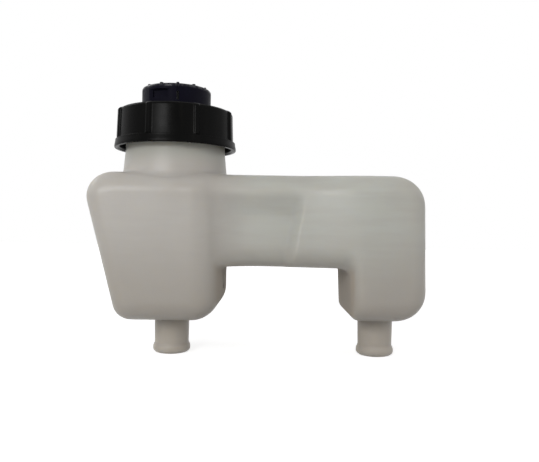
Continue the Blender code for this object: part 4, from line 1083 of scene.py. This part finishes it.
inner_top = rounded_profile((
    (top_r[-1], RING_TOP_Z, 0.0),
    (RING_HOLE_RADIUS, RING_TOP_Z, 0.0003),
    (RING_HOLE_RADIUS, RING_UNDERSIDE_Z, 0.0002),
    (RING_BORE_RADIUS, RING_UNDERSIDE_Z, 0.0003),
    (RING_BORE_RADIUS, RING_UNDERSIDE_Z - 0.0006, 0.0),
), 5)[1:]
bore_z = np.linspace(RING_UNDERSIDE_Z - 0.0007, FLARE_Z - 0.0018, BORE_ROWS)
bore_r = np.full(BORE_ROWS, RING_BORE_RADIUS)
radius = np.concatenate((outside[:, 0], wall_r, top_r, inner_top[:, 0], bore_r))
height = np.concatenate((outside[:, 1], wall_z, top_z, inner_top[:, 1], bore_z))
proud = np.zeros(len(radius))
first, last = len(outside), len(outside) + WALL_ROWS
proud[first:last] = RIB_PROUD
proud[last:last + len(angle)] = RIB_PROUD * np.cos(angle)
threaded = np.arange(len(radius)) >= len(radius) - BORE_ROWS
turn = np.arange(RING_STEPS) / RING_STEPS
sector = 1.0 / RIB_COUNT
first_rib = (RIB_DIRECTION - 90.0) / 360.0 + sector / 2
off_rib = np.abs((turn - first_rib + sector / 2) % sector - sector / 2) * math.tau * RING_PANEL_RADIUS
rib = 1.0 - ramp(off_rib, RIB_HALF_WIDTH - RIB_FLANK / 2, RIB_HALF_WIDTH + RIB_FLANK)
helix_z = NECK_THREAD_Z - (THREAD_ROOT_WIDTH + THREAD_CREST_WIDTH) / 2 - THREAD_CLEARANCE
start_turn = (FLARE_Z + THREAD_ROOT_WIDTH / 2 - helix_z) / THREAD_PITCH
level = np.repeat(height[:, None], RING_STEPS, axis=1)
ridge = thread_height(turn, level, helix_z, start_turn, RING_THREAD_TURNS)
radius = radius[:, None] + proud[:, None] * rib - threaded[:, None] * ridge
x, y = NECK_X + radius * np.cos(math.tau * turn), radius * np.sin(math.tau * turn)
ring_mesh = grid_mesh(np.stack((x, y, level), axis=-1), closed_rows=True)
ring = placed("screwed_ring", smoothed(outward(ring_mesh), sharp_angle=35.0))

RING_COLOUR = (0.0010, 0.0010, 0.0009, 1.0)
RING_WORN_COLOUR = (0.0042, 0.0040, 0.0034, 1.0)
STREAK_SPAN = (0.50, 0.78)
STREAK_STRETCH = (1.0, 1.0, 0.12)
STREAK_STRENGTH = 0.7
RING_INSIDE_RADIUS = (RING_PANEL_RADIUS - 0.0006, RING_BORE_RADIUS + 0.0006)

ring_plastic, tree, shader, place = principled("black_polypropylene", specular=0.05)
streaks = noise(tree, place, scale=300.0, detail=3.0, stretch=STREAK_STRETCH)
streaks = mapped(tree, streaks, STREAK_SPAN, 0.0, STREAK_STRENGTH)
adjust(shader, {"Base Color": between(tree, streaks, RING_COLOUR, RING_WORN_COLOUR)})
dress(tree, shader, grain_scale=1700.0, patch_scale=90.0, depth=0.000008, roughness=(0.23, 0.34),
      matt=mapped(tree, axis_distance(tree, place), RING_INSIDE_RADIUS))
ring.data.materials.append(ring_plastic)
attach(ring, "ring")
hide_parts("cap_ring")


# The studio: a white floor that runs far back and keeps the part's soft shadow, a small lamp before
# the part on the left, a wide one on the right, one above and behind on the left, and a white world.
FLOOR_REACH = 1.5
FLOOR_WHITE = (0.60, 0.60, 0.60, 1.0)
FLOOR_GLOW = 0.78
FLOOR_GLOW_RADIUS = (0.15, 0.60)
WHITE = (1.0, 1.0, 1.0, 1.0)
WORLD_LIGHT = 0.36
AIM = (0.0, 0.0, 0.055)
LAMPS = (
    ("key", (-0.19, -0.45, 0.20), 0.20, 1.05),
    ("fill", (0.60, -0.36, 0.22), 1.20, 1.35),
    ("top", (-0.50, 0.10, 0.48), 0.30, 0.60),
)


def seen(tree):
    """One for the camera's rays and those that gloss and glass send on, and nothing for others."""
    rays = added(tree, "LightPath", {}).outputs
    total = joined(tree, "MAXIMUM", rays["Is Camera Ray"], rays["Is Glossy Ray"])
    return joined(tree, "MAXIMUM", total, rays["Is Transmission Ray"])


# The floor shines a little, but only to the camera and in gloss: near the part its glow lets the
# shadow show, and further out it is pure white.
white_floor, tree, shader, place = principled("white_floor", specular=0.0)
away = mapped(tree, distance(tree, place), FLOOR_GLOW_RADIUS, FLOOR_GLOW)
adjust(shader, {"Base Color": FLOOR_WHITE, "Roughness": 1.0, "Emission Color": WHITE,
                "Emission Strength": joined(tree, "MULTIPLY", seen(tree), away)})
floor_mesh = bpy.data.meshes.new("floor")
corners = [(x, y, 0.0) for y in (-FLOOR_REACH, FLOOR_REACH) for x in (-FLOOR_REACH, FLOOR_REACH)]
floor_mesh.from_pydata(corners, [], [(0, 1, 3, 2)])
floor_mesh.materials.append(white_floor)
placed("floor", floor_mesh)

for name, lamp_place, size, power in LAMPS:
    lamp_data = bpy.data.lights.new(name, "AREA")
    lamp_data.shape = "DISK"
    lamp_data.size = size
    lamp_data.energy = power
    lamp = placed(name, lamp_data)
    lamp.location = lamp_place
    aim = np.array(AIM) - np.array(lamp_place)
    across = math.hypot(aim[0], aim[1])
    lamp.rotation_euler = (math.atan2(across, -aim[2]), 0.0, math.atan2(-aim[0], aim[1]))

world = bpy.data.worlds.new("world")
bpy.context.scene.world = world
world.use_nodes = True
tree = world.node_tree
level = added(tree, "MapRange", {"Value": seen(tree), "To Min": WORLD_LIGHT})
adjust(tree.nodes["Background"], {"Color": WHITE, "Strength": level.outputs["Result"]})
bpy.context.scene.view_settings.view_transform = "Standard"
